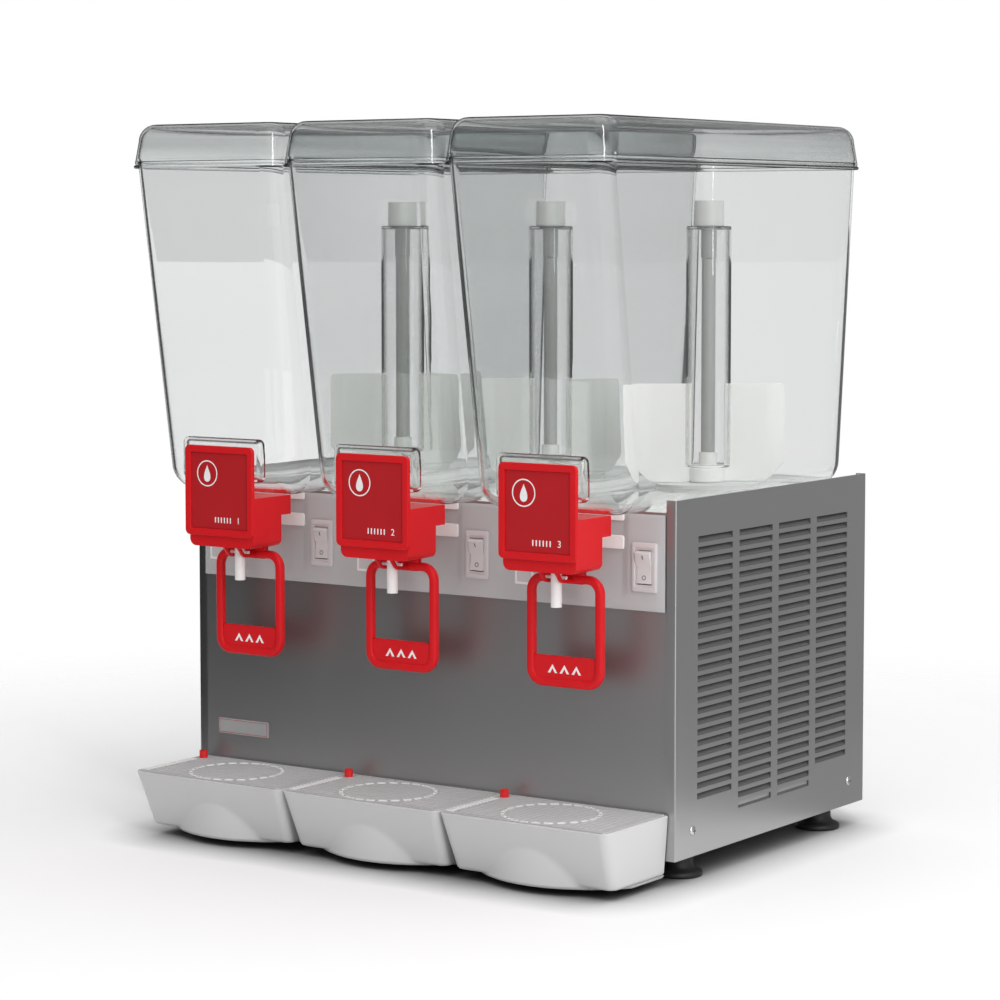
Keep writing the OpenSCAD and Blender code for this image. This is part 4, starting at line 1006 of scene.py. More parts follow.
class DISPENSER_OT_agitators(bpy.types.Operator):
    """Builds the agitators' caps, sleeves, hubs, paddles and tubes"""

    bl_idname = "dispenser.agitators"
    bl_label = "Agitators"

    blade_turn = math.radians(34.6)
    blade_root = 0.0155
    blade_tip = 0.0738
    blade_h = 0.093
    hub_r = 0.0165
    hub_bore = 0.0068
    collar_r = 0.0085
    collar_h = 0.014
    cap_foot_r = 0.0135
    cap_low_r = 0.0142
    cap_top_r = 0.0138
    cap_foot_h = 0.001
    sleeve_r = 0.0072
    sleeve_bore = 0.0026
    sleeve_l = 0.03
    tube_wall = 0.002
    tube_foot_bore = 0.0087
    tube_head_bore = 0.0077

    def execute(self, context):
        """White turned and moulded pieces, a grey sleeve and a clear tube for each channel."""
        for n in CHANNELS:
            low, high = corners(f"agitator_{n}")
            tube_low, tube_high = corners(f"agitator_tube_{n}")
            x = middle_x(n)
            y = (tube_low[1] + tube_high[1]) / 2
            axis = (x, y, 0)
            body = f"agitator_{n}"
            foot = tube_low[2]
            head = tube_high[2]
            paddles = [paddle_part(x, y, self.blade_root, self.blade_tip, low[2], low[2] + self.blade_h, turn)
                       for turn in (self.blade_turn, self.blade_turn + math.pi)]
            add_piece(f"agitator_white_{n}", [self.hub(low[2], foot, axis)] + paddles, white_moulding(), body,
                      [f"agitator_{n}"])
            cap = self.cap(head, high[2], axis)
            # The caps' darker white is painted shade.
            add_piece(f"agitator_cap_{n}", [cap], cap_moulding(), body)
            sleeve = self.sleeve(head, axis)
            add_piece(f"agitator_sleeve_{n}", [sleeve], grey_sleeve(), body)
            tube = self.tube(foot, head, (tube_high[0] - tube_low[0]) / 2, axis)
            add_piece(f"column_tube_{n}", [tube], clear_tube(), body, [f"agitator_tube_{n}"])
        return {"FINISHED"}

    def hub(self, low, foot, axis):
        """The turned hub, with a collar that enters the tube."""
        step = 0.001
        top = foot + self.collar_h
        profile = [(self.hub_bore, low), (self.hub_r, low), (self.hub_r, foot), (self.collar_r, foot + step),
                   (self.collar_r, top), (self.hub_bore, top)]
        return turned(eased(profile, 0.0022), axis, loop=True)

    def cap(self, head, top, axis):
        """The turned cap on the tube's upper end."""
        profile = [(0, head), (self.cap_foot_r, head), (self.cap_low_r, head + self.cap_foot_h),
                   (self.cap_top_r, top), (0, top)]
        return turned(eased(profile, 0.0012), axis)

    def sleeve(self, head, axis):
        """The grey sleeve under the cap, inside the tube."""
        foot = head - self.sleeve_l
        profile = [(self.sleeve_bore, head), (self.sleeve_bore, foot), (self.sleeve_r, foot),
                   (self.sleeve_r, head)]
        return turned(eased(profile, 0.0008), axis, loop=True)

    def tube(self, foot, head, radius, axis):
        """The clear column: a tube with a floor and a top, each with its bore."""
        wall = self.tube_wall
        inner = radius - wall
        profile = [(self.tube_foot_bore, foot), (radius, foot), (radius, head), (self.tube_head_bore, head),
                   (self.tube_head_bore, head - wall), (inner, head - wall), (inner, foot + wall),
                   (self.tube_foot_bore, foot + wall), (self.tube_foot_bore, foot)]
        return turned(eased(profile, 0.0014), axis, steps=64, loop=True)


def cover_part(low, high):
    """One tap cover: rounded front edge, raised border and a sunk panel."""
    border = 0.0066
    sunk = 0.0018
    corner = 0.005
    least_radius = 0.001
    edge = 0.0009
    hold = 1.3
    rear_edge = 0.0005
    inner_edge = 0.0004
    rows = []

    def row(inset, depth):
        """Adds the cover's outline, drawn in by an inset, at a depth."""
        outline = rounded(low[0] + inset, high[0] - inset, low[2] + inset, high[2] - inset,
                          max(corner - inset, least_radius))
        rows.append(laid(outline, depth, "y"))

    row(rear_edge, high[1])
    row(0, high[1] - rear_edge)
    for angle in np.linspace(0, math.pi / 2, 5):
        row(edge * (1 - math.cos(angle)), low[1] + edge - edge * math.sin(angle))
    row(edge * hold, low[1])
    row(border - 0.0009, low[1])
    for angle in np.linspace(0, math.pi / 2, 4):
        row(border - 0.0006 + inner_edge * math.sin(angle), low[1] + inner_edge * (1 - math.cos(angle)))
    row(border, low[1] + sunk)
    return loft(rows)


class DISPENSER_OT_taps(bpy.types.Operator):
    """Builds the tap bodies and covers, and dresses the pistons and springs"""

    bl_idname = "dispenser.taps"
    bl_label = "Taps"

    panel_inset = 0.0067
    panel_sunk = 0.0016
    panel_t = 0.0005

    def execute(self, context):
        """Softened body and moulded cover with its darker panel for each channel."""
        for n in CHANNELS:
            body = f"tank_{n}"
            softened(f"tap_housing_{n}", f"tap_body_{n}", red_moulding(), body,
                     shapes().soft_edge)
            low, high = corners(f"tap_cover_{n}")
            add_piece(f"tap_front_{n}", [cover_part(low, high)], red_moulding(), body,
                      [f"tap_cover_{n}"])
            add_piece(f"tap_panel_{n}", [self.panel(low, high)], red_panel(), body)
            dress(f"tap_piston_{n}", white_moulding())
            dress(f"tap_spring_{n}", plain("spring_wire", (0.5, 0.5, 0.51), 0.25, 1.0))
        return {"FINISHED"}

    def panel(self, low, high):
        """The thin darker panel in the cover's sunk field."""
        inset = self.panel_inset
        outline = rounded(low[0] + inset, high[0] - inset, low[2] + inset, high[2] - inset, 0.001)
        face = low[1] + self.panel_sunk
        return plate(outline, face, face + self.panel_t, 0.0001, "y", 1)


def lever_parts(n):
    """One lever: round-cornered loop of a squarish bar, push pad, web behind the spout and fork arms.

    The bar's section is a circle whose cosine and sine are raised to a power below 1, which squares it.
    """
    low, high = corners(f"tap_lever_{n}")
    x = middle_x(n)
    bar = 0.0042
    corner = 0.012
    loop_h = 0.101
    squaring = 0.62
    slim = 0.93
    pad_h = 0.028
    pad_half_t = 0.002
    web_half = 0.02
    web_rise = 0.004
    web_half_t = 0.003
    edge = 0.0008
    plane = high[1] - bar
    loop_top = low[2] + loop_h
    path = rounded(low[0] + bar, high[0] - bar, low[2] + bar, loop_top - bar, corner, arc=8)
    side = np.roll(path, -1, 0) - np.roll(path, 1, 0)
    side /= np.linalg.norm(side, axis=1)[:, None]
    outward = np.stack([side[:, 1], np.zeros(len(path)), -side[:, 0]], 1)
    angle = np.linspace(0, 2 * math.pi, 20, endpoint=False)
    circle = np.stack([np.cos(angle), np.sin(angle)], 1)
    section = bar * slim * np.sign(circle) * np.abs(circle) ** squaring
    parts = [swept(laid(path, plane, "y"), outward, (0, 1, 0), section, loop=True)]
    pad = rounded(low[0] + bar, high[0] - bar, low[2] + bar, low[2] + pad_h, corner - bar)
    parts.append(plate(pad, plane - pad_half_t, plane + pad_half_t, edge, "y"))
    web = rounded(x - web_half, x + web_half, loop_top - 2 * bar, loop_top + web_rise, 0.0015)
    parts.append(plate(web, plane - web_half_t, plane + web_half_t, edge, "y"))
    return parts + fork_parts(x, plane, low[1], high[2], loop_top)


def fork_parts(x, plane, front, top, loop_top):
    """The lever's two arms, bent up from the loop's top to the ring round each end of the pivot pin."""
    half = 0.0015
    boss = 0.0045
    bore = 0.0021
    apart = 0.0084
    drop = 0.005
    level_run = 0.02
    pivot = np.array([front + boss, top - boss])
    arm_z = loop_top - drop
    run = eased([(plane, arm_z), (plane - level_run, arm_z), pivot], 0.004)
    along = np.gradient(run, axis=0)
    along /= np.linalg.norm(along, axis=1)[:, None]
    over = np.stack([0 * run[:, 0], -along[:, 1], along[:, 0]], 1)
    square = rounded(-half, half, -half, half, 0.0005, arc=2)
    ring = [(bore, -half), (boss, -half), (boss, half), (bore, half)]
    parts = []
    for arm_x in (x - apart, x + apart):
        parts.append(swept(laid(run, arm_x, "x"), over, (1, 0, 0), square))
        parts.append(turned(ring, (arm_x, *pivot), "x", 24, loop=True))
    return parts


class DISPENSER_OT_levers(bpy.types.Operator):
    """Builds the push levers"""

    bl_idname = "dispenser.levers"
    bl_label = "Levers"

    def execute(self, context):
        """One lever for each channel."""
        for n in CHANNELS:
            add_piece(f"push_lever_{n}", lever_parts(n), red_moulding(), f"lever_{n}",
                      [f"tap_lever_{n}"])
        return {"FINISHED"}


def fascia_part(low, high, skin):
    """The fascia's front skin: a height field scooped in behind each tap, open at the switches.

    Its depth is even, less a smooth step across each recess times one up its foot, less a fall at its edges.
    """
    half_recess = 0.041
    blend = 0.005
    foot = low[2] + 0.006
    shoulder = low[2] + 0.02
    scooped = 0.85
    edge_fall = 0.0007
    edge_w = 0.0025
    hole_x = 0.0098
    hole_z = 0.0173
    holes = [switch_middle(n) for n in CHANNELS]
    xs = [np.linspace(low[0], high[0], 105)]
    zs = [np.linspace(low[2], high[2], 35)]
    for n, (middle, level) in zip(CHANNELS, holes):
        xs.append([middle - hole_x, middle + hole_x])
        xs.append(middle_x(n) + np.linspace(-half_recess - blend, half_recess + blend, 41))
        zs.append([level - hole_z, level + hole_z])
    x, z = np.meshgrid(merged(np.clip(np.concatenate(xs), low[0], high[0])), merged(np.concatenate(zs)))
    scoop = np.zeros_like(x)
    for n in CHANNELS:
        away = np.abs(x - middle_x(n))
        scoop = np.maximum(scoop, 1 - smooth(half_recess - blend, half_recess + blend, away))
    depth = (high[1] - low[1] - skin) * (1 - scooped * scoop * smooth(foot, shoulder, z))
    edge = np.minimum.reduce([x - low[0], high[0] - x, z - low[2], high[2] - z])
    depth -= edge_fall * (1 - smooth(0, edge_w, edge))
    points = np.stack([x, high[1] - depth, z], -1).reshape(-1, 3)
    faces = grid_faces(*x.shape, False, False)
    centre = points[faces].mean(1)
    keep = np.ones(len(faces), bool)
    for middle, level in holes:
        keep &= (np.abs(centre[:, 0] - middle) > hole_x) | (np.abs(centre[:, 2] - level) > hole_z)
    return points, faces[keep].tolist()


class DISPENSER_OT_fascia(bpy.types.Operator):
    """Builds the fascia strip with its scooped recesses, ledge bars and bare labels"""

    bl_idname = "dispenser.fascia"
    bl_label = "Fascia"

    skin_t = 0.0004
    bar_half = 0.0395
    bar_t = 0.0022
    bar_gap = 0.0002
    ledge_drop = 0.032
    ledge_h = 0.012
    top_bar_h = 0.007
    label_half = 0.01
    label_low = 0.015
    label_high = 0.03
    label_aside = 0.065
    label_margin = 0.012
    label_proud = 0.0002
    field_inset = 0.0022
    field_proud = 0.0003

    def execute(self, context):
        """A scooped skin, and two pale ledge bars and a small label for each channel."""
        low, high = corners("fascia_strip")
        skin = add_piece("fascia_skin", [fascia_part(low, high, self.skin_t)], fascia_plastic(), "root",
                         ["fascia_strip"])
        thickened(skin, self.skin_t)
        bars = []
        labels = []
        fields = []
        for n in CHANNELS:
            x = middle_x(n)
            ledge = high[2] - self.ledge_drop
            bars.append(self.bar(x, ledge, ledge + self.ledge_h, high[1]))
            bars.append(self.bar(x, high[2] - self.top_bar_h, high[2], high[1]))
            side_x = max(x - self.label_aside, low[0] + self.label_margin)
            labels.append(self.label(side_x, low, 0, self.label_proud))
            fields.append(self.label(side_x, low, self.field_inset, self.field_proud))
        add_piece("fascia_ledges", bars, ledge_plastic(), "root")
        add_piece("fascia_labels", labels, white_moulding(), "root")
        add_piece("fascia_label_fields", fields, bezel_plastic(), "root")
        return {"FINISHED"}

    def bar(self, x, foot, top, back):
        """A pale bar across a recess."""
        outline = rounded(x - self.bar_half, x + self.bar_half, foot, top, 0.002)
        return plate(outline, back - self.bar_t, back - self.bar_gap, 0.0006, "y")

    def label(self, x, low, inset, proud):
        """A thin bare label, or with an inset the field in it."""
        half = self.label_half - inset
        foot = low[2] + self.label_low + inset
        top = low[2] + self.label_high - inset
        outline = rounded(x - half, x + half, foot, top, 0.001)
        return plate(outline, low[1] - proud, low[1] + 0.001, 0.0001, "y", 1)


class DISPENSER_OT_switches(bpy.types.Operator):
    """Builds the switch frames and their rockers"""

    bl_idname = "dispenser.switches"
    bl_label = "Switches"

    half_w = 0.0128
    half_h = 0.0217
    hole_w = 0.0078
    hole_h = 0.0153
    wall = 0.0015
    step = 0.0008
    lap = 0.0005
    depth = 0.015
    mark_rise = 0.009
    mark_t = 0.0001
    ring_r = 0.0021
    ring_bore = 0.0014
    stroke_half_w = 0.0006
    stroke_half_h = 0.0018

    def execute(self, context):
        """A stepped frame, a rocker and its two plain marks for each channel."""
        front = corners("switch_bezels")[0][1]
        fascia_front = corners("fascia_strip")[0][1]
        frames = []
        for n in CHANNELS:
            x, z = switch_middle(n)
            frames.append(self.frame_part(x, z, front, fascia_front))
            rocker = f"rocker_{n}"
            softened(f"rocker_cap_{n}", f"switch_rocker_{n}", rocker_moulding(), rocker,
                     0.0006)
            add_piece(f"rocker_mark_{n}", self.mark_parts(n, x, z), dark_print(), rocker)
        add_piece("switch_frames", frames, bezel_plastic(), "root", ["switch_bezels"])
        return {"FINISHED"}

    def mark_parts(self, n, x, z):
        """A stroke near the rocker's upper end and a ring near its lower end, laid on its faces."""
        turn = np.linspace(0, 2 * math.pi, 24, endpoint=False)
        circle = np.stack([np.cos(turn), np.sin(turn)], 1)
        half_w = self.stroke_half_w
        half_h = self.stroke_half_h
        stroke = rounded(-half_w, half_w, -half_h, half_h, 0.0003, arc=2)
        ring = self.ring_r * circle
        bore = self.ring_bore * circle
        front = -self.mark_t
        stroke_rows = [(stroke, 0.0), (stroke, front)]
        ring_rows = [(ring, 0.0), (ring, front), (bore, front), (bore, 0.0)]
        parts = []
        for rise, levels, loop in ((self.mark_rise, stroke_rows, False), (-self.mark_rise, ring_rows, True)):
            rows = []
            for shape, proud in levels:
                flat = shape + np.array([x, z + rise])
                rows.append(laid(flat, 0, "y") + self.face_depth(n, flat, proud))
            parts.append(loft(rows, loop))
        return parts

    def face_depth(self, n, flat, proud):
        """How far back the rocker's face lies at each point, plus a little, from a line through two hits."""
        probe = 0.002
        work = bmesh.new()
        work.from_mesh(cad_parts[f"switch_rocker_{n}"].data)
        skin = BVHTree.FromBMesh(work)
        work.free()
        x, z = flat.mean(0)
        low, high = [skin.ray_cast((x, -1, z + rise), (0, 1, 0))[0][1] for rise in (-probe, probe)]
        slope = (high - low) / (2 * probe)
        depth = (low + high) / 2 + slope * (flat[:, 1] - z) + proud
        return np.stack([0 * depth, depth, 0 * depth], 1)

    def frame_part(self, x, z, front, back):
        """One frame: outer step, raised inner lip and the walls of its opening, as a closed ring of rows."""
        outer = (self.half_w, self.half_h)
        hole = (self.hole_w, self.hole_h)
        rear = back + self.depth
        sunk = front + self.step
        seat = back + self.lap
        sections = ((outer, 0, seat, 0.002), (outer, 0, sunk, 0.002), (outer, -0.0004, front + 0.0003, 0.002),
                    (outer, -0.001, front, 0.0018), (hole, 0.0022, front, 0.0014),
                    (hole, 0.0018, sunk, 0.0012), (hole, 0, sunk, 0.001), (hole, 0, rear, 0.001),
                    (hole, self.wall, rear, 0.001), (hole, self.wall, seat, 0.001))
        rows = []
        for (half_w, half_h), wider, y, radius in sections:
            w = half_w + wider
            h = half_h + wider
            rows.append(laid(rounded(x - w, x + w, z - h, z + h, radius), y, "y"))
        return loft(rows, loop=True)


class TrayForm:
    """Sections of one drip tray: leaning round-cornered walls, pushed out where the round basin is wider."""

    front_lean = 0.021
    side_lean = 0.004
    basin_r = 0.1
    basin_reach = 0.0948
    wall = 0.0025
    low_edge = 0.0095
    rear_corner = 0.002
    rear_blend = 0.004
    rear_gap = 0.0005

    def __init__(self, n):
        """Takes a tray's sizes from the frame."""
        low, high = corners(f"drip_tray_{n}")
        self.left = low[0]
        self.right = high[0]
        self.front = low[1]
        self.back = corners("front_panel")[0][1] - self.rear_gap
        self.bottom = low[2]
        self.rim = high[2]
        self.x = (low[0] + high[0]) / 2
        self.axis_y = self.back - self.basin_reach + self.basin_r

    def box_row(self, level, inset):
        """Leaning walls at one level, as an outline with round front corners and tighter rear ones."""
        share = (self.rim - level) / (self.rim - self.low_edge)
        corner = shapes().tray_corner
        side = self.side_lean * share + inset
        front = self.front + self.front_lean * share + inset
        box = (self.left + side, self.right - side, front, self.back - inset)
        shares = {"along": np.linspace(0, 1, 42)[1:-1], "up": np.linspace(0, 1, 12)[1:-1]}
        outline = rounded(*box, corner - inset * 0.5, arc=8, **shares)
        square = rounded(*box, self.rear_corner, arc=8, **shares)
        turn = self.back - corner
        rear = smooth(turn - self.rear_blend, turn + self.rear_blend, outline[:, 1])
        return outline + rear[:, None] * (square - outline)

    def basin_front(self, outline, inset):
        """Depth of the round basin's front at each point of an outline."""
        away = outline[:, 0] - self.x
        return self.axis_y - np.sqrt(np.maximum((self.basin_r - inset) ** 2 - away ** 2, 0))

    def facing(self, outline):
        """True where an outline runs along the front or round its corners."""
        least = 1e-5
        away = np.abs(outline[:, 0] - self.x)
        return (away < away.max() - least) & (outline[:, 1] < (self.front + self.back) / 2)

    def union_row(self, level, inset, basin_inset=None):
        """Walls at one level, pushed forwards to the basin's front where the basin reaches further."""
        outline = self.box_row(level, inset)
        round_front = self.basin_front(outline, inset if basin_inset is None else basin_inset)
        ahead = self.facing(outline) & (round_front < outline[:, 1])
        return np.stack([outline[:, 0], np.where(ahead, round_front, outline[:, 1])], 1)

    def basin_row(self, level, inset):
        """The round basin below the walls, with straight sides that run to the back."""
        outline = self.box_row(self.low_edge, inset)
        round_front = self.basin_front(outline, inset)
        start = outline[:, 1].min()
        share = (outline[:, 1] - start) / (self.back - start)
        side = round_front + share * (self.back - inset - round_front)
        depth = np.where(self.facing(outline), round_front, side)
        return laid(np.stack([outline[:, 0], depth], 1), level, "z")

    def shrunk(self, row, share):
        """A row drawn towards the basin's axis."""
        axis = np.array([self.x, self.axis_y, 0])
        scale = np.array([share, share, 1])
        return axis + (row - axis) * scale


def tray_parts(n):
    """One tray: outer skin, rounded rim, ledge for the grid, inner skin and two hanging tabs."""
    form = TrayForm(n)
    wall = form.wall
    low_edge = form.low_edge
    ledge_top = corners(f"drip_grid_{n}")[0][2]
    lip = 0.0012
    ledge = 0.0065
    basin_edge = 0.003
    foot_edge = 0.0025
    centre = 0.02
    floor = form.basin_row(form.bottom, basin_edge)
    rows = [form.shrunk(floor, centre), floor]
    for level, inset in ((form.bottom + 0.0009, 0.0009), (form.bottom + basin_edge, 0),
                         (low_edge - 0.0002, 0)):
        rows.append(form.basin_row(level, inset))
    for inset, rise in ((foot_edge, 0.0), (0.0008, 0.0008), (0, foot_edge)):
        rows.append(laid(form.union_row(low_edge + rise, inset, 0), low_edge + rise, "z"))
    for level in np.linspace(low_edge + 0.004, form.rim - lip, 30):
        rows.append(laid(form.union_row(level, 0), level, "z"))
    for angle in np.linspace(0, math.pi, 7)[1:]:
        inset = lip - lip * math.cos(angle)
        rows.append(laid(form.box_row(form.rim, inset), form.rim - lip + lip * math.sin(angle), "z"))
    for inset, level in ((2 * lip, ledge_top), (ledge, ledge_top), (ledge, ledge_top - wall)):
        rows.append(laid(form.box_row(form.rim, inset), level, "z"))
    for level in np.linspace(ledge_top - wall - 0.001, low_edge + wall + 0.002, 10):
        rows.append(laid(form.union_row(level, wall), level, "z"))
    rows.append(form.basin_row(low_edge + wall, wall))
    floor = form.basin_row(form.bottom + wall, wall + 0.002)
    rows += [floor, form.shrunk(floor, centre)]
    return [loft(rows)] + tab_parts(form, corners(f"drip_tray_{n}")[1][1])


def tab_parts(form, back):
    """The two tabs behind a tray's rim that hang it in the front panel."""
    apart = 0.07
    half = 0.007
    low = form.rim - 0.005
    high = form.rim - 0.001
    lap = 0.001
    parts = []
    for x in (form.x - apart, form.x + apart):
        tab = rounded(x - half, x + half, low, high, 0.0008, arc=3)
        parts.append(plate(tab, form.back - lap, back, 0.0006, "y"))
    return parts


class DISPENSER_OT_trays(bpy.types.Operator):
    """Builds the drip trays and their floats"""

    bl_idname = "dispenser.trays"
    bl_label = "Drip trays"

    def execute(self, context):
        """One tray and one float for each channel."""
        for n in CHANNELS:
            add_piece(f"tray_shell_{n}", tray_parts(n), tray_plastic(), f"tray_{n}",
                      [f"drip_tray_{n}"], crease=50)
            softened(f"float_peg_{n}", f"tray_float_{n}", red_float(), f"float_{n}", 0.0008)
        return {"FINISHED"}


class DISPENSER_OT_grids(bpy.types.Operator):
    """Dresses the drip grids, and adds the lips round their slots, their teeth and their ribs, the lips and
    teeth white as painted highlights
    """

    bl_idname = "dispenser.grids"
    bl_label = "Drip grids"

    ring_r = 0.043
    ring_reach = 0.056
    slots = 24
    slot_l = 0.007
    slot_w = 0.0024
    rib_start = 0.016
    rib_pitch = 0.0065
    rib_w = 0.0016
    rib_h = 0.0004
    margin = 0.005
    sink = 0.0002
    tooth_inset = 0.001
    tooth_l = 0.008
    tooth_w = 0.0028
    tooth_h = 0.0005
    tooth_pitch = 0.0052
    peg_clear = 0.022

    def execute(self, context):
        """Raised lips round the ring of slots and pale teeth, both white as painted highlights, and low ribs
        along the depth of each grid.
        """
        front = corners("front_panel")[0][1]
        for n in CHANNELS:
            dress(f"drip_grid_{n}", grid_plastic())
            low, high = corners(f"drip_grid_{n}")
            middle = np.array([middle_x(n), front - self.ring_reach])
            turns = [2 * math.pi * k / self.slots for k in range(self.slots)]
            # Painted highlights: white lips round the slots and pale teeth along the left edge.
            painted_highlights = [self.lip_part(middle, turn, high[2]) for turn in turns] + self.tooth_parts(low, high)
            ribs = self.rib_parts(low, high, middle)
            add_piece(f"grid_painted_highlights_{n}", painted_highlights, white_moulding(), f"grid_{n}")
            add_piece(f"grid_ribs_{n}", ribs, grid_plastic(), f"grid_{n}")
        return {"FINISHED"}

    def lip_part(self, middle, turn, top):
        """A low round-topped rim round one slot of the ring, white as a painted highlight on the slot's edge.
        """
        lip = 0.0005
        half_w = self.slot_w / 2
        half_l = self.slot_l / 2
        outline = rounded(self.ring_r - half_w, self.ring_r + half_w, -half_l, half_l, 0.0006, arc=2)
        flank = lip * 0.7
        rows = []
        for wider, rise in ((0, -self.sink), (0, flank), (lip / 2, lip), (lip, flank),
                            (lip * 1.2, -self.sink)):
            across, along = drawn_in(outline, -wider).T
            spun = np.stack([across * math.cos(turn) - along * math.sin(turn),
                             across * math.sin(turn) + along * math.cos(turn)], 1)
            rows.append(laid(middle + spun, top + rise, "z"))
        return loft(rows, loop=True)

    def tooth_parts(self, low, high):
        """A row of short pale bars along the grid's left edge, clear of the float's peg at the back, as
        painted highlights on that edge.
        """
        left = low[0] + self.tooth_inset
        parts = []
        for y in np.arange(low[1] + self.margin, high[1] - self.peg_clear, self.tooth_pitch):
            bar = rounded(left, left + self.tooth_l, y, y + self.tooth_w, 0.0006, arc=2)
            parts.append(plate(bar, high[2] - self.sink, high[2] + self.tooth_h, 0.0002, "z"))
        return parts

    def rib_parts(self, low, high, middle):
        """Low ribs along the depth, broken where they would cross the ring of slots."""
        clear = 0.004
        shortest = 0.006
        half = self.rib_w / 2
        front = low[1] + self.margin
        back = high[1] - self.margin
        parts = []
        for x in np.arange(low[0] + self.rib_start, high[0] - self.margin, self.rib_pitch):
            runs = [(front, back)]
            across = abs(x - middle[0])
            if across < self.ring_r + clear:
                outer = math.sqrt((self.ring_r + clear) ** 2 - across ** 2)
                inner = math.sqrt(max((self.ring_r - clear) ** 2 - across ** 2, 0))
                runs = [(front, middle[1] - outer), (middle[1] - inner, middle[1] + inner),
                        (middle[1] + outer, back)]
            for start, end in runs:
                if end - start > shortest:
                    outline = rounded(x - half, x + half, start, end, self.rib_w * 0.45, arc=2)
                    parts.append(plate(outline, high[2] - self.sink, high[2] + self.rib_h, 0.00025, "z", 1))
        return parts


class DISPENSER_OT_cabinet(bpy.types.Operator):
    """Builds the cabinet's looks: panels, louvre flaps, screws, feet and the bare plate"""

    bl_idname = "dispenser.cabinet"
    bl_label = "Cabinet"

    louvre_w = 0.06
    louvre_h = 0.0054
    louvre_pitch = 0.0095
    column_pitch = 0.0718
    top_drop = 0.034
    rows = (25, 27, 27, 25)
    sheet = 0.0015
    fold = 0.0012
    screw_r = 0.0046
    screw_h = 0.0022
    plate_w = 0.061
    plate_h = 0.015
    plate_left = 0.0143
    plate_low = 0.065

    def execute(self, context):
        """Folds the side panels, hangs a flap in each louvre and adds the small pieces."""
        for side in ("left", "right"):
            node = f"side_panel_{side}"
            skin = add_piece(f"{node}_folded", [self.panel_skin(node, side == "right")], side_steel(), "root",
                             [node])
            thickened(skin, self.sheet)
            # The flaps' dark colour is painted shade for the inside of the louvre slots.
            add_piece(f"louvre_flaps_{side}", self.flap_parts(node, side == "right"), louvre_steel(), "root")
        dress("front_panel", front_steel())
        dress("base_pan", zinc_sheet())
        dress("rear_panel", zinc_sheet())
        dress("top_deck", white_enamel())
        add_piece("feet_turned", self.feet_parts(), black_rubber(), "root", ["feet"])
        self.screws()
        self.bare_plate()
        return {"FINISHED"}

    def column_starts(self, middle):
        """Where each column of louvres starts along the depth, about a middle."""
        count = len(self.rows)
        return middle + (np.arange(count) - (count - 1) / 2) * self.column_pitch - self.louvre_w / 2

    def panel_skin(self, node, right):
        """A side panel's skin: a profile folded at both ends of its depth, carried up, with open louvres."""
        low, high = corners(node)
        outside = high[0] if right else low[0]
        way = 1 if right else -1
        depth = high[1] - low[1]
        flange = high[0] - low[0]
        least = 1e-5
        turn = np.linspace(0, math.pi / 2, 6)
        front = self.fold * np.stack([np.sin(turn) - 1, 1 - np.cos(turn)], 1)
        back = front[::-1] * (1, -1) + (0, depth)
        starts = self.column_starts(depth / 2)
        edges = np.sort(np.concatenate([starts, starts + self.louvre_w]))
        flat = np.stack([0 * edges, edges], 1)
        profile = np.concatenate([[[-flange, 0]], front, flat, back, [[-flange, depth]]])
        tops = high[2] - self.top_drop - np.arange(max(self.rows)) * self.louvre_pitch
        levels = np.sort(np.concatenate([[low[2], high[2]], tops, tops - self.louvre_h]))
        across, level = np.meshgrid(np.arange(len(profile)), levels)
        aside = outside + way * profile[across, 0]
        points = np.stack([aside, low[1] + profile[across, 1], level], -1).reshape(-1, 3)
        faces = grid_faces(len(levels), len(profile), False, False)
        middle = points[faces].mean(1)
        drop = tops[0] - middle[:, 2]
        row = np.floor(drop / self.louvre_pitch)
        in_slot = (drop > 0) & (drop - row * self.louvre_pitch < self.louvre_h)
        open_ = np.zeros(len(faces), bool)
        for start, rows in zip(starts + low[1], self.rows):
            in_column = (middle[:, 1] > start) & (middle[:, 1] < start + self.louvre_w)
            open_ |= in_slot & in_column & (row < rows)
        on_fold = np.abs(middle[:, 0] - outside) > least
        return points, faces[~open_ | on_fold].tolist()

    def flap_parts(self, node, right):
        """A thin flap in each louvre, curved from the slot's lower edge inwards and up, with end cheeks.

        Its section goes inwards by a power of its rise, so that it starts flat against the panel.
        """
        low, high = corners(node)
        outside = high[0] if right else low[0]
        inwards = -1 if right else 1
        deep = 0.0045
        thick = 0.0006
        climb = 0.0048
        curl = 1.3
        gap = 0.0002
        rise = np.linspace(0, 1, 5)
        curve = np.stack([gap + deep * rise ** curl, climb * rise], 1)
        back = curve[::-1] + np.array([thick, -gap])
        sill = np.stack([np.full(len(rise), gap), climb * rise], 1)
        flap = np.concatenate([curve, back])
        cheek = np.concatenate([sill, back])
        parts = []
        for start, rows in zip(self.column_starts((low[1] + high[1]) / 2), self.rows):
            end = start + self.louvre_w
            for row in range(rows):
                base = high[2] - self.top_drop - row * self.louvre_pitch - self.louvre_h + gap
                ends = []
                for y, section in ((start + gap, cheek), (start + thick, cheek), (start + thick, flap),
                                   (end - thick, flap), (end - thick, cheek), (end - gap, cheek)):
                    ends.append(laid(section * (inwards, 1) + (outside, base), y, "y"))
                parts.append(loft(ends))
        return parts

    def feet_parts(self):
        """Four turned feet: a wide base disc, a waist and a post."""
        low, high = corners("feet")
        disc_r = 0.021
        disc_h = 0.0045
        waist_r = 0.0145
        waist_z = 0.0075
        post_r = 0.0125
        post_z = 0.011
        profile = eased([(0, 0), (disc_r, 0), (disc_r, disc_h), (waist_r, waist_z), (post_r, post_z),
                         (post_r, high[2]), (0, high[2])], 0.0018)
        return [turned(profile, (x, y, 0)) for x in (low[0] + disc_r, high[0] - disc_r)
                for y in (low[1] + disc_r, high[1] - disc_r)]

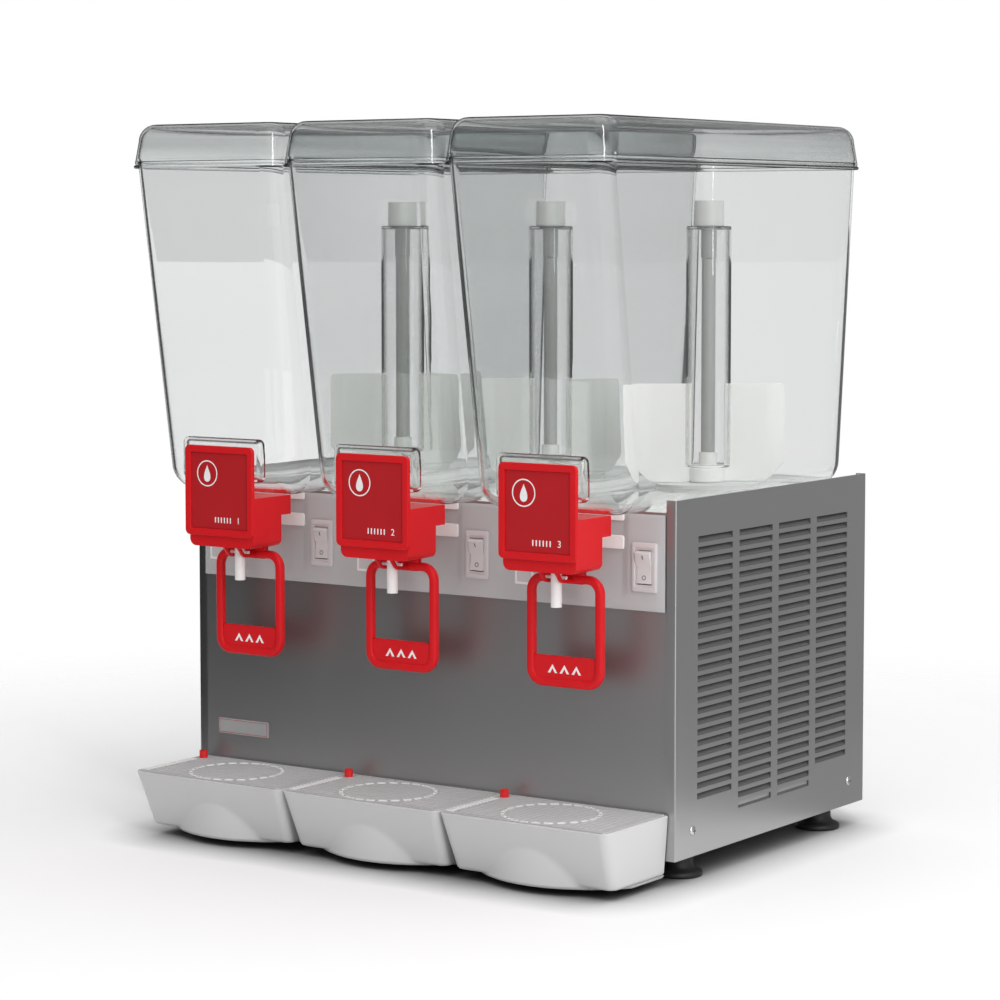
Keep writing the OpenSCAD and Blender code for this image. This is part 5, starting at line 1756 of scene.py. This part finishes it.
    def screws(self):
        """Domed screw heads on both sides, each with a dark cross on its top as painted shade for its sunk
        cross.
        """
        low, high = corners("panel_screws")
        flat = 0.0003
        seat = 0.001
        arm_l = 0.0026
        arm_w = 0.0007
        cross_drop = 0.0001
        z = (low[2] + high[2]) / 2
        angle = np.linspace(0, math.pi / 2, 7)
        dome = np.stack([self.screw_r * np.cos(angle), self.screw_h * np.sin(angle)], 1)
        dome[:, 1] = np.minimum(dome[:, 1], self.screw_h - flat)
        profile = np.concatenate([[[0, -seat], [self.screw_r, -seat]], dome])
        domes = []
        cross_shades = []
        for base, way in ((high[0] - self.screw_h, 1), (low[0] + self.screw_h, -1)):
            top = base + way * (self.screw_h - cross_drop)
            for y in (low[1] + self.screw_r, high[1] - self.screw_r):
                domes.append(turned(profile * (1, way), (base, y, z), "x", 32))
                # Painted shade: a dark cross stands for the shade in each screw's sunk cross.
                for wide, tall in ((arm_l, arm_w), (arm_w, arm_l)):
                    outline = rounded(y - wide, y + wide, z - tall, z + tall, 0.0002, arc=1)
                    cross_shades.append(plate(outline, base, top, 0.0001, "x", 1))
        add_piece("screw_heads", domes, bright_screw(), "root", ["panel_screws"])
        add_piece("screw_cross_shades", cross_shades, dark_print(), "root")

    def bare_plate(self):
        """A small grey plate with a fine red border, left bare, at the front's lower left."""
        low = corners("front_panel")[0]
        front = low[1]
        left = low[0] + self.plate_left
        base = low[2] + self.plate_low
        outline = rounded(left, left + self.plate_w, base, base + self.plate_h, 0.0012)
        body = plate(outline, front - 0.0009, front + 0.0003, 0.0003, "y")
        add_piece("bare_plate", [body], plate_metal(), "root")
        outer = drawn_in(outline, 0.0012)
        inner = drawn_in(outer, 0.0004)
        sunk = front - 0.0008
        face = front - 0.00098
        steps = ((outer, sunk), (outer, face), (inner, face), (inner, sunk))
        rows = [laid(shape, depth, "y") for shape, depth in steps]
        add_piece("bare_plate_border", [loft(rows, loop=True)], red_panel(), "root")


class DISPENSER_OT_marks(bpy.types.Operator):
    """Adds the generic printed marks: a drop in a ring, level strokes, a channel number and push chevrons"""

    bl_idname = "dispenser.marks"
    bl_label = "Marks"

    thick = 0.0001
    cover_sunk = 0.0016
    ring_inset = 0.026
    ring_r = 0.0122
    ring_w = 0.0011
    line_rise = 0.0125
    strokes = 6
    stroke_start = 0.046
    stroke_pitch = 0.0036
    stroke_w = 0.0012
    stroke_h = 0.0052
    number_inset = 0.018
    number_h = 0.0085
    pad_sunk = 0.0062
    chevron_rise = 0.0165
    chevron_pitch = 0.0125

    def execute(self, context):
        """White marks on each cover and each push pad."""
        for n in CHANNELS:
            low, high = corners(f"tap_cover_{n}")
            face = low[1] + self.cover_sunk
            ring_x = low[0] + self.ring_inset
            ring_z = high[2] - self.ring_inset
            line = low[2] + self.line_rise
            parts = [self.ring(ring_x, ring_z, face), self.drop(ring_x, ring_z, face)]
            for k in range(self.strokes):
                parts.append(self.stroke(high[0] - self.stroke_start + k * self.stroke_pitch, line, face))
            add_piece(f"cover_mark_{n}", parts, white_print(), f"tank_{n}")
            self.number(n, high[0] - self.number_inset, line, face)
            low, high = corners(f"tap_lever_{n}")
            middle = (low[0] + high[0]) / 2
            pad_face = high[1] - self.pad_sunk
            chevrons = [self.chevron(middle + k * self.chevron_pitch, low[2] + self.chevron_rise, pad_face)
                        for k in (-1, 0, 1)]
            add_piece(f"push_mark_{n}", chevrons, white_print(), f"lever_{n}")
        return {"FINISHED"}

    def printed(self, outline, face):
        """A flat outline as a thin mark on a face."""
        return loft([laid(outline, face - self.thick, "y"), laid(outline, face, "y")])

    def ring(self, x, z, face):
        """A thin flat ring."""
        bore = self.ring_r - self.ring_w
        front = face - self.thick
        rows = [(bore, face), (bore, front), (self.ring_r, front), (self.ring_r, face)]
        return turned(rows, (x, 0, z), "y", 64, loop=True)

    def stroke(self, x, z, face):
        """One short upright stroke of a row of level marks."""
        return self.printed(rounded(x, x + self.stroke_w, z, z + self.stroke_h, 0.0003, arc=2), face)

    def drop(self, x, z, face):
        """A drop: its width is a sine times a power of the half angle's sine, its height a cosine."""
        half_w = 0.0055
        half_h = 0.0078
        taper = 1.5
        t = np.linspace(0, 2 * math.pi, 40, endpoint=False)
        wide = half_w * np.sin(t) * np.sin(t / 2) ** taper
        return self.printed(np.stack([x - wide, z + half_h * np.cos(t)], 1), face)

    def chevron(self, x, z, face):
        """A chevron that points up."""
        wide = 0.005
        rise = 0.0038
        bar = 0.0026
        notch = bar * 1.3
        outline = np.array([[-wide, -rise], [bar - wide, -rise], [0, rise - notch], [wide - bar, -rise],
                            [wide, -rise], [0, rise]])
        return self.printed(outline + (x, z), face)

    def number(self, n, x, z, face):
        """A plain channel number, written as a thin mesh."""
        text = bpy.data.curves.new(f"number_{n}", "FONT")
        text.body = str(n)
        text.size = self.number_h
        text.align_x = "CENTER"
        text.extrude = self.thick / 2
        holder = bpy.data.objects.new(f"number_{n}", text)
        bpy.context.scene.collection.objects.link(holder)
        bpy.context.view_layer.update()
        finished = holder.evaluated_get(bpy.context.evaluated_depsgraph_get())
        flat = bpy.data.meshes.new_from_object(finished)
        bpy.data.objects.remove(holder)
        points = np.zeros(len(flat.vertices) * 3)
        flat.vertices.foreach_get("co", points)
        points = points.reshape(-1, 3)
        placed = np.stack([x + points[:, 0], face - self.thick / 2 - points[:, 2], z + points[:, 1]], 1)
        faces = [list(face_.vertices) for face_ in flat.polygons]
        add_piece(f"channel_number_{n}", [(placed, faces)], white_print(), f"tank_{n}")


class DISPENSER_OT_inside(bpy.types.Operator):
    """Finishes the pieces inside the cabinet and under the tanks"""

    bl_idname = "dispenser.inside"
    bl_label = "Inside"

    def execute(self, context):
        """A material for each inner node."""
        dress("compressor", plain("black_enamel", (0.02, 0.02, 0.023), 0.3))
        dress("condenser", plain("fin_aluminium", (0.66, 0.67, 0.68), 0.4, 1.0))
        dress("fan_motor", motor_paint())
        dress("gear_motors", motor_paint())
        dress("fan_blade", plain("fan_plastic", (0.1, 0.105, 0.11), 0.5))
        dress("evaporators", evaporator_steel())
        dress("tank_gaskets", plain("gasket_rubber", (0.7, 0.7, 0.69), 0.5))
        dress("cable_gland", plain("gland_plastic", (0.02, 0.02, 0.02), 0.45))
        for n in CHANNELS:
            dress(f"drive_shaft_{n}", chimney_steel())
        return {"FINISHED"}


# Stage


def tone_material(name, tones, reach):
    """A glowing tone for a card that only mirrors and clear plastic see, blended from left to right."""
    material = bpy.data.materials.new(name)
    material.use_nodes = True
    tree = material.node_tree
    tree.nodes.clear()
    blend = spread(tree, object_axes(tree), "X", *tones, *reach)
    glow = tree.nodes.new("ShaderNodeEmission")
    link(tree, blend, "Result", glow, "Strength")
    sink = tree.nodes.new("ShaderNodeOutputMaterial")
    link(tree, glow, "Emission", sink, "Surface")
    return material


def stage_card(name, points, tones, reach=(-1, 1), glossy=True, clear=True):
    """A four-cornered card that neither the camera nor the soft light sees."""
    mesh = bpy.data.meshes.new(name)
    mesh.from_pydata([tuple(map(float, p)) for p in points], [], [(0, 1, 2, 3)])
    mesh.materials.append(tone_material(name, tones, reach))
    card = bpy.data.objects.new(name, mesh)
    bpy.context.scene.collection.objects.link(card)
    card.visible_camera = False
    card.visible_diffuse = False
    card.visible_shadow = False
    card.visible_glossy = glossy
    card.visible_transmission = clear


def upright(foot, away, half, tall):
    """Corners of an upright card on a foot point, square to the direction away."""
    aside = np.array([-away[1], away[0], 0]) * half
    rise = np.array([0, 0, tall])
    return [foot - aside, foot + aside, foot + aside + rise, foot - aside + rise]


class DISPENSER_OT_stage(bpy.types.Operator):
    """Builds the camera, the floor, the light and the cards"""

    bl_idname = "dispenser.stage"
    bl_label = "Stage"

    camera_place = (1.6160, -2.3432, 0.5789)
    camera_tilt = 85.5935
    camera_turn = 34.6325
    lens = 108.2
    shift = -0.0455
    floor_reach = 1.5
    floor_fade = 0.5
    floor_margin = 0.1
    contact_reach = 0.06
    strip_place = (2.13, -1.49, 1.5)
    strip_size = (0.25, 2.2)
    top_place = (0.9, -0.5, 2.6)
    top_size = (1.8, 1.8)
    top_share = 0.4
    aim = (0, 0, 0.45)
    soft_lean = (0.2, 0.2, 0.18)
    far = 6.5
    far_half = 4
    high_tall = 4
    edge_tall = 9
    horizon_drop = 0.013
    lid_rise = 0.0225
    far_blend = np.array([-0.45, -0.15])
    dark_tone = 0.03
    card_level = 0.002
    front_away = 0.8
    front_half = 1.3
    front_tall = 1.4
    front_floor_x = (-1.5, 0.5)
    front_floor_y = -0.9
    front_floor_gap = 0.12
    side_middle = 0.05
    side_away = 0.6
    side_half = 1.2
    side_tall = 1.3
    side_floor_gap = 0.16
    side_floor_share = 1.2

    def execute(self, context):
        """Everything round the object."""
        scene = context.scene
        scene.view_settings.view_transform = "Standard"
        self.camera(scene)
        self.floor()
        self.world(scene)
        self.lamps(scene.dispenser_stage)
        self.cards(scene.dispenser_stage)
        scene.cycles.max_bounces = 24
        scene.cycles.transmission_bounces = 24
        scene.cycles.transparent_max_bounces = 12
        scene.cycles.glossy_bounces = 8
        scene.cycles.diffuse_bounces = 4
        return {"FINISHED"}

    def camera(self, scene):
        """The photograph's viewpoint."""
        data = bpy.data.cameras.new("camera")
        data.lens = self.lens
        data.sensor_width = 36
        data.shift_y = self.shift
        data.clip_end = 200
        camera = bpy.data.objects.new("camera", data)
        camera.location = self.camera_place
        camera.rotation_euler = (math.radians(self.camera_tilt), 0, math.radians(self.camera_turn))
        scene.collection.objects.link(camera)
        scene.camera = camera

    def floor(self):
        """A pale disc that keeps the shadow, has painted contact shade from ambient occlusion in its colour
        and fades out into the white surround.
        """
        steps = 64
        angle = np.linspace(0, 2 * math.pi, steps, endpoint=False)
        ring = self.floor_reach * np.stack([np.cos(angle), np.sin(angle), 0 * angle], 1)
        mesh = bpy.data.meshes.new("floor")
        mesh.from_pydata(ring.tolist(), [], [list(range(steps))])
        material = surface("pale_floor", (0.95, 0.95, 0.95), 0.7, {"Specular IOR Level": 0.1}, bump=0.0,
                           shade=0.004)
        tree = material.node_tree
        place = tree.nodes.new("ShaderNodeTexCoord")
        reach = tree.nodes.new("ShaderNodeVectorMath")
        reach.operation = "LENGTH"
        link(tree, place, "Object", reach, 0)
        fade = spread(tree, reach, "Value", 0, 1, self.floor_fade, self.floor_reach - self.floor_margin)
        fade.interpolation_type = "SMOOTHSTEP"
        # Painted shade: ambient occlusion darkens the floor's colour near contacts.
        near = tree.nodes.new("ShaderNodeAmbientOcclusion")
        near.inputs["Distance"].default_value = self.contact_reach
        scaled_tint(tree, near, "AO")
        clear = tree.nodes.new("ShaderNodeBsdfTransparent")
        mixed(tree, fade, "Result", tree.nodes["Principled BSDF"], clear, tree.nodes["Material Output"])
        mesh.materials.append(material)
        floor = bpy.data.objects.new("floor", mesh)
        bpy.context.scene.collection.objects.link(floor)

    def world(self, scene):
        """White surround for what is seen, dark for light caught inside clear walls, and a soft light.

        The soft light is a level plus the direction's share to the right, to the back and upwards.
        """
        stage = scene.dispenser_stage
        world = bpy.data.worlds.new("world")
        scene.world = world
        world.use_nodes = True
        tree = world.node_tree
        tree.nodes.clear()
        path = tree.nodes.new("ShaderNodeLightPath")
        seen = combined(tree, "MAXIMUM", (path, "Is Camera Ray"), (path, "Is Glossy Ray"))
        seen = combined(tree, "MAXIMUM", (seen, "Value"), (path, "Is Transmission Ray"))
        caught = combined(tree, "MINIMUM", (path, "Glossy Depth"), (path, "Transmission Depth"))
        caught.use_clamp = True
        tone = spread(tree, caught, "Value", 1, stage.edge_tone)
        place = tree.nodes.new("ShaderNodeTexCoord")
        lean = tree.nodes.new("ShaderNodeVectorMath")
        lean.operation = "DOT_PRODUCT"
        lean.inputs[1].default_value = self.soft_lean
        link(tree, place, "Generated", lean, 0)
        level = combined(tree, "ADD", (lean, "Value"), stage.fill)
        soft = self.white_light(tree, level, "Value")
        white = self.white_light(tree, tone, "Result")
        mixed(tree, seen, "Value", soft, white, tree.nodes.new("ShaderNodeOutputWorld"))

    def white_light(self, tree, source, output):
        """A white background whose strength comes from an output."""
        light = tree.nodes.new("ShaderNodeBackground")
        light.inputs["Color"].default_value = (1, 1, 1, 1)
        link(tree, source, output, light, "Strength")
        return light

    def lamps(self, stage):
        """A tall narrow strip to the right of the camera and a soft light from above."""
        self.lamp("strip_light", self.strip_place, self.strip_size, stage.key)
        self.lamp("top_light", self.top_place, self.top_size, stage.key * self.top_share)

    def lamp(self, name, place, size, power):
        """One area light that faces the middle of the object."""
        data = bpy.data.lights.new(name, "AREA")
        data.shape = "RECTANGLE"
        data.size, data.size_y = size
        data.energy = power
        lamp = bpy.data.objects.new(name, data)
        lamp.location = place
        x, y, z = np.array(self.aim) - np.array(place)
        lamp.rotation_euler = (math.atan2(math.hypot(x, y), -z), 0, math.atan2(-x, y))
        bpy.context.scene.collection.objects.link(lamp)

    def cards(self, stage):
        """Cards behind the upper tanks and the lids, and those that the front panel and right side mirror."""
        turn = math.radians(self.camera_turn)
        ahead = np.array([-math.sin(turn), math.cos(turn), 0])
        up = np.array([0, 0, 1])
        foot = np.array(self.camera_place) + self.far * (ahead - self.horizon_drop * up)
        step = self.far * (self.horizon_drop + self.lid_rise)
        reach = tuple(foot[0] + self.far_blend)
        far_tones = (stage.far_left, stage.far_right)
        high_tones = (stage.high_left, stage.high_right)
        half = self.far_half
        far_points = upright(foot, ahead, half, step)
        high_points = upright(foot + step * up, ahead, half, self.high_tall)
        edge_points = upright(foot, ahead, half, self.edge_tall)
        stage_card("far_card", far_points, far_tones, reach, glossy=False)
        stage_card("high_card", high_points, high_tones, reach, glossy=False)
        stage_card("edge_card", edge_points, (self.dark_tone, self.dark_tone), clear=False)
        self.front_cards(stage, turn)
        self.side_cards(stage, turn)

    def front_cards(self, stage, turn):
        """An upright card before the front panel and one on the floor between them."""
        low, high = corners("front_panel")
        front = low[1]
        away = np.array([-math.sin(turn), -math.cos(turn), 0])
        offset = self.front_away * away
        tones = (stage.front_left, stage.front_right)
        reach = (low[0] + offset[0], high[0] + offset[0])
        points = upright(np.array([0, front, 0]) + offset, away, self.front_half, self.front_tall)
        stage_card("front_card", points, tones, reach, clear=False)
        left, right = self.front_floor_x
        near = front - self.front_floor_gap
        corner_list = [(left, self.front_floor_y), (right, self.front_floor_y), (right, near), (left, near)]
        points = [(x, y, self.card_level) for x, y in corner_list]
        stage_card("front_floor_card", points, tones, reach, clear=False)

    def side_cards(self, stage, turn):
        """An upright card beside the right side and one on the floor between them."""
        away = np.array([math.sin(turn), math.cos(turn), 0])
        side = np.array([corners("front_panel")[1][0], self.side_middle, 0])
        foot = side + self.side_away * away
        tone = stage.side_card
        half = self.side_half
        stage_card("side_card", upright(foot, away, half, self.side_tall), (tone, tone), clear=False)
        near = upright(side + self.side_floor_gap * away, away, half, self.card_level)[2:]
        rest = upright(foot, away, half, self.card_level)[:1:-1]
        tone *= self.side_floor_share
        stage_card("side_floor_card", near + rest, (tone, tone), clear=False)


BUILDERS = (DISPENSER_OT_stage, DISPENSER_OT_cabinet, DISPENSER_OT_fascia, DISPENSER_OT_switches,
            DISPENSER_OT_inside, DISPENSER_OT_tanks, DISPENSER_OT_lids, DISPENSER_OT_agitators,
            DISPENSER_OT_taps, DISPENSER_OT_levers, DISPENSER_OT_trays, DISPENSER_OT_grids,
            DISPENSER_OT_marks)


class DISPENSER_PT_panel(bpy.types.Panel):
    """Lists the builders in the 3D view's sidebar"""

    bl_label = "Dispenser"
    bl_space_type = "VIEW_3D"
    bl_region_type = "UI"
    bl_category = "Dispenser"

    def draw(self, context):
        """One button for each builder, and the settings."""
        for builder in BUILDERS:
            self.layout.operator(builder.bl_idname)
        for name in GROUPS:
            group = getattr(context.scene, name)
            for key in group.__annotations__:
                self.layout.prop(group, key)


GROUPS = {"dispenser_finish": DispenserFinish, "dispenser_shapes": DispenserShapes,
          "dispenser_stage": DispenserStage}


def register():
    """Registers the settings, the operators and the panel."""
    for name, group in GROUPS.items():
        bpy.utils.register_class(group)
        setattr(bpy.types.Scene, name, bpy.props.PointerProperty(type=group))
    for builder in BUILDERS:
        bpy.utils.register_class(builder)
    bpy.utils.register_class(DISPENSER_PT_panel)


def unregister():
    """Removes what register added."""
    bpy.utils.unregister_class(DISPENSER_PT_panel)
    for builder in reversed(BUILDERS):
        bpy.utils.unregister_class(builder)
    for name, group in GROUPS.items():
        delattr(bpy.types.Scene, name)
        bpy.utils.unregister_class(group)


def main():
    """Builds everything."""
    register()
    for builder in BUILDERS:
        family, step = builder.bl_idname.split(".")
        getattr(getattr(bpy.ops, family), step)()


if __name__ == "__main__":
    main()
